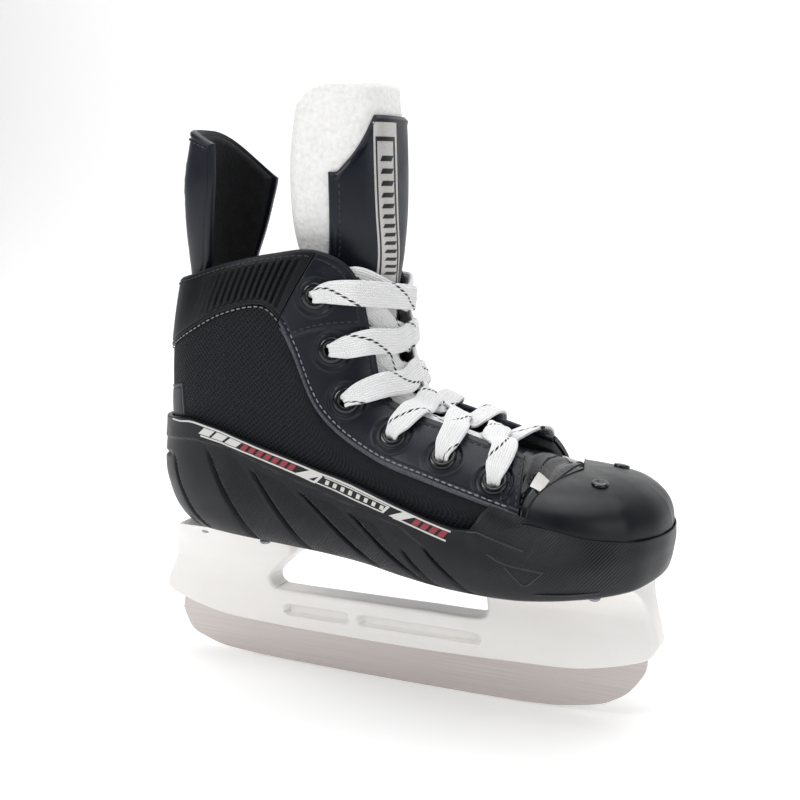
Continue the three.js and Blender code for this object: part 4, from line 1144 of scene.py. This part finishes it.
def vamp():
    """Glossy throat piece between the facings and the toe cap: arches with folds across them."""
    x, angle = np.meshgrid(np.linspace(60.5, 90, 70), np.linspace(0, np.pi, 150), indexing="ij")
    fold = 0.6 * np.sin(x * 1.15 + 1.2 * np.sin(angle * 5)) * bump(x - 73, 9) * np.sin(angle)
    slab("vamp_throat", "boot_vinyl", GLOSS, vamp_point(x, angle, fold), vamp_point(x, angle, -1.3),
         replaces=["vamp"])
    arc = np.linspace(0.1, 0.9, 140) * np.pi
    for number, where in enumerate((70.5, 78.8), 1):
        line = vamp_point(np.full(140, where), arc, 0.35)
        stitch_row(f"vamp_stitches_{number}", DARK_THREAD, line,
                   unit(vamp_point(np.full(140, where), arc, 1.35) - line))
    for side, word in SIDES:
        turn = np.linspace(0.26, 0.37, 14) * np.pi
        turn = turn if side > 0 else np.pi - turn
        x, angle = np.meshgrid(np.linspace(71.6, 77.2, 8), turn, indexing="ij")
        slab(f"vamp_reflective_patch_{word}", "boot_vinyl", SILVER, vamp_point(x, angle, 0.8),
             vamp_point(x, angle, -0.3))


GROMMET = [[3.0, -5.0], [3.9, -5.0], [3.9, 1.0], [5.5, 1.05], [5.75, 1.25], [5.6, 1.6], [5.0, 1.95],
           [4.2, 2.15], [3.5, 2.05], [3.1, 1.7], [2.95, 1.2], [3.0, -5.0]]


def eyelets():
    """Enamelled grommets: rolled flange, bore open to the inside."""
    for side, word in SIDES:
        for number, (u, v) in enumerate(eyelet_places(side), 1):
            place = (skin_point(u, v), skin_normal(u, v))
            turned(f"eyelet_grommet_{word}_{number}", "eyelet_metal", ENAMEL, [place], GROMMET,
                   replaces=[f"eyelet_{word}_{number}"], sides=44)


def floor_plate(name, slot, material, inset, low, high, crown, replaced):
    """Plate on the shell's floor: outline drawn in by inset, its top crowned towards the edge."""
    t = np.arange(300) / 300
    rings = [loop_point(SOLE_EDGE, t, inset + 3) * [1, 0, 1] + [0, 0, low]]
    rings += [loop_point(SOLE_EDGE, t, inset + 3) + [0, 0, low]]
    rings += [loop_point(SOLE_EDGE, t, inset) + [0, 0, low + 0.5]]
    rings += [loop_point(SOLE_EDGE, t, inset + d) + [0, 0, high - 0.5 + lift] for d, lift in
              [(0, 0), (0.3, 0.35), (1.0, 0.5 + crown), (4, 0.5 + crown * 0.6), (9, 0.5)]]
    rings.append(loop_point(SOLE_EDGE, t, inset + 9) * [1, 0, 1] + [0, 0, high])
    grid = np.stack(rings)
    piece(name, slot, material, grid, grid_quads(len(rings), 300, wrap_cols=True), replaces=[replaced])


# ---------------------------------------------------------------------------------------------
# Tongue. Stations: front x and z on the centre line, half width, wrap depth, roundness, narrowing.
TONGUE = [[64, 109.5, 18, 3, 2, 0], [50, 113.8, 18.5, 4, 2, 0], [36, 118, 18.5, 5, 2, 0.1],
          [22, 122.3, 18, 8, 2, 0.3], [9.5, 129.8, 17.5, 14, 2.1, 0.6], [2, 142.5, 17, 24, 2.1, 0.9],
          [-1.2, 160, 16.5, 33, 2.1, 1], [-1, 180, 16.5, 39, 2.2, 1], [0.5, 196, 18, 43, 2.8, 1],
          [0.5, 215, 22, 44, 3.4, 1], [0, 240, 23.5, 43, 3.5, 1], [-1, 269, 22.5, 38, 3.2, 1]]
TONGUE_Y = 1


def tongue_point(t, s, depth):
    """Station t, s from -1 (right edge) to 1, depth in mm under the front: across a superellipse."""
    t, s, depth = np.broadcast_arrays(t, s, depth)
    x, z, w, wrap, power, narrows = np.moveaxis(spline(TONGUE, t), -1, 0)
    back, ahead = spline(TONGUE, np.maximum(t - 0.05, 0)), spline(TONGUE, np.minimum(t + 0.05, 11))
    along = unit((ahead - back)[..., :2])
    angle = np.minimum(np.abs(s), 1) * np.pi / 2
    half = w - depth * narrows
    y = np.sign(s) * half * np.sin(angle) ** (2 / power)
    fall = depth + (wrap - depth * narrows) * (1 - np.maximum(np.cos(angle), 0) ** (2 / power))
    return np.stack([x - along[..., 1] * fall, y + TONGUE_Y, z + along[..., 0] * fall], -1)


def blended(made):
    """Bakes the piece's placement into its mesh."""
    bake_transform(made)


FELT_TOP, FELT_UNDER = 1.6, 9.2                     # depths of the felt's two faces under the front


def tongue_felt():
    """Thick felt: one long pad, its edges and top rounded, its surface lumpy by a few tenths."""
    rows, cols = np.linspace(0, 1, 230), np.linspace(-1, 1, 150)
    r, c = np.meshgrid(rows, cols, indexing="ij")
    t = 0.7 + r * (11.0 - 0.7)
    rest = np.clip((r - 0.966) / 0.034, 0, 1)
    s = c * (1 - 0.14 * (1 - np.sqrt(1 - rest ** 2)))
    outer, inner = tongue_point(t, s, FELT_TOP), tongue_point(t, s, FELT_UNDER)
    middle = (outer + inner) / 2
    edge = border_distance(middle)
    fat = np.sqrt(np.clip(1 - (1 - np.clip(edge / 4.2, 0, 1)) ** 2, 0.0, 1))
    _, y, z = np.moveaxis(outer, -1, 0)
    lump = 0.28 * np.sin(z * 0.9 + 2 * np.sin(y * 0.55)) * np.sin(y * 0.8 + z * 0.23)
    swell = (fat + lump * 0.06 * fat)[..., None]
    made = slab("tongue_felt_pad", "tongue_felt", FELT, middle + (outer - middle) * swell,
                middle + (inner - middle) * swell, body=None, crease=70,
                replaces=["tongue_felt_lower", "tongue_felt_upper"])
    blended(made)


def cover_station(r, c):
    """Station of the cover at row share r: its top is a peak that falls away to both corners."""
    return r * (10.45 - 0.78 * np.clip((np.abs(c) - 0.4) / 0.52, 0, 1))


def cover_spread(t):
    """How much of the tongue's width the cover takes at a station."""
    return 0.93 - 0.11 * smooth(5.5, 7.0, t)


def tongue_cover():
    """Coated leather front of the tongue with a rolled, stitched border."""
    r, c = np.meshgrid(np.linspace(0, 1, 240), eased(-1, 1, 100, 0.5), indexing="ij")
    t = cover_station(r, c)
    s = c * cover_spread(t)
    base = tongue_point(t, s, 0.0)
    edge = border_distance(base)
    height = 0.5 - rounded(edge, 0.8) + 0.5 * bump(edge - 1.8, 1.0) - 0.35 * bump(edge - 3.6, 0.5)
    made = slab("tongue_cover_leather", "boot_vinyl", LEATHER, tongue_point(t, s, -height),
                tongue_point(t, s, 1.3), body=None, replaces=["tongue_cover_lower", "tongue_cover_upper"])
    blended(made)
    for label, spread in [("right", -0.9), ("left", 0.9)]:
        rows = np.linspace(0.62, 0.985, 260)
        t = cover_station(rows, np.full(260, spread))
        s = spread * cover_spread(t)
        line = tongue_point(t, s, -0.5)
        normal = unit(tongue_point(t, s, -1.5) - line)
        row = stitch_row(f"tongue_stitches_{label}", DARK_THREAD, line, normal, body=None)
        blended(row)


def tongue_patch(name, slot, material, shapes, out, replaces=()):
    """Thin plates on the cover: each [station from, to, s from, to, slant of s per station]."""
    pairs = []
    for t0, t1, s0, s1, slant in shapes:
        rows = np.linspace(t0, t1, max(int((t1 - t0) * 9), 1) + 3)
        t, s = np.meshgrid(rows, np.linspace(s0, s1, 10), indexing="ij")
        s = s + slant * (t - t0)
        pairs.append((tongue_point(t, s, -out), tongue_point(t, s, -0.1)))
    made = piece(name, slot, material, *plates(pairs), body=None, replaces=replaces)
    blended(made)


def tongue_marks():
    """Silver tape down the tongue, and on it a plain rounded frame with slanted bars."""
    tongue_patch("tongue_tape", "tongue_silver", SILVER, [[5.4, 10.36, -0.37, -0.02, 0.0]], 0.85,
                 replaces=["tongue_strip"])
    frame_lines = [[7.2, 10.15, -0.345, -0.325, 0.0], [7.2, 10.15, -0.065, -0.045, 0.0],
                   [7.15, 7.21, -0.345, -0.045, 0.0], [10.12, 10.18, -0.345, -0.045, 0.0]]
    bars = [[t, t + 0.085, -0.285, -0.105, 0.4] for t in np.arange(7.42, 9.95, 0.2)]
    tongue_patch("tongue_frame_mark", "boot_vinyl", BLACK_INK, frame_lines + bars, 1.0)


# ---------------------------------------------------------------------------------------------
# Tendon guard. Levels: height, rear x, half width, x of the front edge.
GUARD = [[164, -101.5, 17, -88.5], [184.5, -101.3, 19, -86], [192, -101.8, 21.5, -82.5],
         [205, -102.2, 25, -79.5], [218, -102, 27.5, -77], [229, -101, 29, -75], [250, -96, 29, -75]]
GUARD_TOP = 250
GUARD_POWER = 2.3                                   # squareness of the guard's back in plan


def guard_point(s, t, depth):
    """s from -1 to 1 round the back, t from the hidden foot 0 to the rounded top 1, depth in mm inward."""
    s, t, depth = np.broadcast_arrays(s, t, depth)
    levels = np.array(GUARD, float)
    top = GUARD_TOP - np.where(s < 0, 7 * np.abs(s) ** 3, 21 * np.abs(s) ** 1.7)
    z = levels[0, 0] + t * (top - levels[0, 0])
    place = np.interp(z, levels[:, 0], np.arange(len(levels)))
    _, rear, half, front = np.moveaxis(spline(levels, place), -1, 0)
    angle = np.abs(s) * np.pi / 2
    wrap = 1 - np.maximum(np.cos(angle), 0) ** (2 / GUARD_POWER)
    y = np.sign(s) * (half - depth) * np.sin(angle) ** (2 / GUARD_POWER)
    return np.stack([rear + depth + (front - rear - depth) * wrap, y, z], -1)


def tendon_guard():
    """Leather-covered guard with a rolled border, a velvet lining, edge stitches and plain printed bars."""
    s, t = np.meshgrid(eased(-1, 1, 170, 0.6), eased(0, 1, 150, 0.6), indexing="ij")
    base = guard_point(s, t, 0.0)
    edge = border_distance(base)
    roll = 0.35 * bump(edge - 1.5, 1.0) - 0.25 * bump(edge - 3.2, 0.5) - rounded(edge, 1.0)
    outer, inner = guard_point(s, t, -roll), guard_point(s, t, 2.5 + 0 * edge)
    made = slab("guard_shell", "boot_vinyl", LEATHER, outer, inner, body=None, replaces=["tendon_guard"])
    blended(made)
    inset = s * 0.955, t * 0.975
    pad = guard_point(*inset, 2.4 + 0 * edge)
    edge = border_distance(pad)
    thick = 2.4 + 3.6 * np.sqrt(np.clip(1 - (1 - np.clip(edge / 3.5, 0, 1)) ** 2, 0, 1))
    lining = slab("guard_velvet_lining", "guard_velvet", VELVET, pad, guard_point(*inset, thick), body=None,
                  crease=60, replaces=["guard_lining"])
    blended(lining)
    round_s = np.linspace(-0.93, 0.93, 260)
    line = guard_point(round_s, np.full(260, 0.955), -0.25)
    normal = unit(guard_point(round_s, 0.955, -1.0) - line)
    row = stitch_row("guard_stitches_top", DARK_THREAD, line, normal, body=None)
    blended(row)
    pairs = []
    for side, _ in SIDES:
        for step in range(6):
            t0 = 0.42 + 0.066 * step
            rows, cols = np.linspace(t0, t0 + 0.024, 3), np.linspace(0.12, 0.34 + 0.02 * step, 12)
            t, s = np.meshgrid(rows, cols, indexing="ij")
            t = t + 0.2 * (s - 0.12)
            pairs.append((guard_point(side * s, t, -0.16), guard_point(side * s, t, 0.4)))
    bars = piece("guard_printed_bars", "boot_vinyl", SILVER_INK, *plates(pairs), body=None)
    blended(bars)


# ---------------------------------------------------------------------------------------------
# Lace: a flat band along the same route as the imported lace, one strand per eyelet
LACE_WIDTH, LACE_THICK = 11.0, 2.4
CROSSING = [6.85, 6.0, 4.95, 3.85, 2.6, 1.3]         # tongue station of each crossing
EDGE_OUT = [6.3, 7.02, 7.75, 8.45, 9.04, 9.64]       # where a strand leaves over its own facing's edge
EDGE_IN = {-1: [6.5, 6.72, 7.12, 7.78, 8.45, 9.2],   # where it goes in under the other facing
           1: [6.05, 6.45, 6.98, 7.55, 8.35, 9.0]}
OVER, UNDER = 6.3, 3.2                              # lift of right and of left strands where they cross
STRAND_ROWS = 110
TRACER_SHIFT = 7.0                                  # mm that a strand's pattern is moved on from the last


def tongue_front(station, side_y, lift):
    """Point and normal over the middle of the tongue's front."""
    x, z = spline(TONGUE, np.array(station))[:2]
    back, ahead = spline(TONGUE, np.array(station - 0.05)), spline(TONGUE, np.array(station + 0.05))
    along = unit((ahead - back)[:2])
    normal = np.array([along[1], 0, -along[0]])
    return np.array([x, side_y, z]) + normal * lift, normal


def lace_strand(side, i):
    """Route of one strand: up through eyelet i, over the facing and the tongue, down under the other
    facing, as steps of place, normal and band width."""
    u, v = EYELETS[i]
    own, other = EDGE_OUT[i], EDGE_IN[side][i]
    lift = OVER if side < 0 else UNDER
    steps = []
    for share, height, width in [(-0.04, -6.0, 4.4), (0, -1.5, 4.6), (0.05, 2.3, 6.0), (0.36, 3.4, 9.6),
                                 (0.96, 2.9 + 0.2 * lift, LACE_WIDTH)]:
        at_u, at_v = side * (u + (own - u) * share), v + (2 - v) * share
        steps.append((skin(at_u, at_v, height), skin_normal(at_u, min(at_v, 1.95)), width))
    lean = (own - other) * 0.3
    for y, shift in [(8.5 * side, -lean), (TONGUE_Y / 2, 0.0), (-8.5 * side, lean)]:
        spot, normal = tongue_front(CROSSING[i] + shift, y, lift if abs(y) < 5 else lift - 0.9)
        steps.append((spot, unit(normal + np.array([0, 0.3 * np.sign(y) * abs(y) / 9, 0])), LACE_WIDTH))
    steps.append((skin(-side * other, 2.0, -3.4), skin_normal(-side * other, 1.95), 10.6))
    steps.append((skin(-side * (other - 0.12), 1.72, -6.6), skin_normal(-side * other, 1.8), 9.0))
    return steps


def lace():
    """Every strand is a superellipse section carried along its route, pinched and cupped in the eyelets."""
    angle = np.linspace(0, 2 * np.pi, 33)[:-1]
    points, quads, uvs, start, run_on = [], [], [], 0, 0.0
    for side, _ in SIDES:
        for i in range(len(EYELETS)):
            spots, normals, widths = (np.array(part) for part in zip(*lace_strand(side, i)))
            keys = np.linspace(0, len(spots) - 1, STRAND_ROWS)
            line = spline(spots, keys)
            normal = unit(spline(normals, keys))
            width = spline(widths[:, None], keys)[:, 0]
            ahead = unit(np.gradient(line, axis=0))
            across = unit(np.cross(ahead, normal))
            up = np.cross(across, ahead)
            thick = LACE_THICK * (1 + 0.55 * (1 - width / LACE_WIDTH))
            c = np.sign(np.cos(angle)) * np.abs(np.cos(angle)) ** 0.8
            n = np.sign(np.sin(angle)) * np.abs(np.sin(angle)) ** 0.55
            wave = 0.16 * np.cos(3 * np.pi * c)[None, :] * np.abs(n)
            cup = (1 - width / LACE_WIDTH)[:, None] * 2.4 * (c ** 2)[None, :]
            high = thick[:, None] / 2 * n[None, :] + wave * n[None, :] + cup
            ring = (line[:, None] + across[:, None] * (width[:, None] / 2 * c[None, :])[..., None]
                    + up[:, None] * high[..., None])
            ring[0], ring[-1] = ring[0].mean(0), ring[-1].mean(0)
            step = np.concatenate([[0], np.cumsum(np.linalg.norm(np.diff(line, axis=0), axis=1))])
            run = step[:, None] + run_on + 0 * c[None, :]
            flat = (c * LACE_WIDTH / 2)[None, :] + 0 * run
            points.append(ring.reshape(-1, 3))
            uvs.append(np.stack([run, flat], -1).reshape(-1, 2))
            quads.append(grid_quads(len(line), len(angle), wrap_cols=True) + start)
            start += ring.shape[0] * ring.shape[1]
            run_on += step[-1] + TRACER_SHIFT
    piece("lace_band", "lace_cotton", LACE, np.concatenate(points), np.concatenate(quads),
          np.concatenate(uvs), crease=70, replaces=["lace"])


# ---------------------------------------------------------------------------------------------
# Build
outsole_shell()
shell_prints()
toe_cap()
blade_holder()
runner()
holder_rivets()
inner_boot()
heel_counter()
vamp()
eyelets()
topline_binding()
for side, word in SIDES:
    toe_rivet(side, word)
    shell_lines(side, word)
    shell_wing(side, word)
    quarter(side, word)
    eyestay(side, word)
    collar(side, word)
floor_plate("insole_fibre_board", "insole_plastic", FIBRE, 6.5, 3.95, 5.75, 0, "insole_board")
floor_plate("footbed_pad", "lining_fabric", LINING, 7, 6.1, 10.1, 0.8, "footbed")
tongue_felt()
tongue_cover()
tongue_marks()
tendon_guard()
lace()


# ---------------------------------------------------------------------------------------------
# Stage, light and camera
def paper_sweep():
    """Pale paper: a flat floor that curves up behind into a wall, a quarter circle of 0.7 m between."""
    bend = np.linspace(0, np.pi / 2, 24)
    y = np.concatenate([[-2500.0], 900 + 700 * np.sin(bend), [1600.0]])
    z = np.concatenate([[0.0], 700 - 700 * np.cos(bend), [3200.0]])
    x = np.linspace(-3500, 3500, 3)
    grid = np.stack(np.broadcast_arrays(x[None, :], y[:, None], z[:, None] - 0.05), -1)
    mesh = bpy.data.meshes.new("paper_sweep")
    mesh.from_pydata((grid.reshape(-1, 3) * MM).tolist(), [], grid_quads(len(y), 3)[:, ::-1].tolist())
    mesh.shade_smooth()
    made, tree, shader = finish("seamless_paper_white", "#fafafa", 0.85, Emission_Color=linear("#ffffff"),
                                Emission_Strength=0.22)
    relief(tree, shader, [(mottle(tree, 1.5), 0.05, 0.0001)])
    mesh.materials.append(made)
    sweep = bpy.data.objects.new("paper_sweep", mesh)
    bpy.context.scene.collection.objects.link(sweep)


def softbox(name, place, aim, size, power):
    """Square area light at a place, turned to face a point."""
    light = bpy.data.lights.new(name, "AREA")
    light.size, light.energy = size, power
    box = bpy.data.objects.new(name, light)
    box.location = place
    box.rotation_euler = (Vector(aim) - Vector(place)).to_track_quat("-Z", "Y").to_euler()
    bpy.context.scene.collection.objects.link(box)


LENS_MM, SENSOR_MM = 54.9, 36
CAMERA_PLACE = (0.2210, -0.4876, 0.2232)
CAMERA_DOWN, CAMERA_ROUND = 9.77, 24.26              # degrees below level, and round from straight on


def camera():
    """Long lens a little above the boot, from its right side and a little ahead."""
    lens = bpy.data.cameras.new("camera")
    lens.sensor_width, lens.lens = SENSOR_MM, LENS_MM
    view = bpy.data.objects.new("camera", lens)
    view.location = CAMERA_PLACE
    view.rotation_euler = np.radians([90 - CAMERA_DOWN, 0, CAMERA_ROUND])
    bpy.context.scene.collection.objects.link(view)
    bpy.context.scene.camera = view


paper_sweep()
softbox("overhead_softbox", (0.1, 0.0, 1.3), (0, 0, 0.1), 1.2, 11.5)
softbox("backdrop_softbox", (-0.7, 0.7, 1.7), (-0.7, 1.7, 0.5), 1.6, 13)
softbox("front_left_softbox", (-0.8, -1.0, 0.9), (0, 0, 0.1), 0.6, 8)
softbox("front_right_softbox", (1.2, -0.7, 0.6), (0, 0, 0.1), 0.8, 4)
camera()
world = bpy.data.worlds.new("studio_white")
bpy.context.scene.world = world
world.use_nodes = True
background = world.node_tree.nodes["Background"]
background.inputs["Color"].default_value = linear("#ffffff")
background.inputs["Strength"].default_value = 0.12
bpy.context.scene.view_settings.view_transform = "Standard"
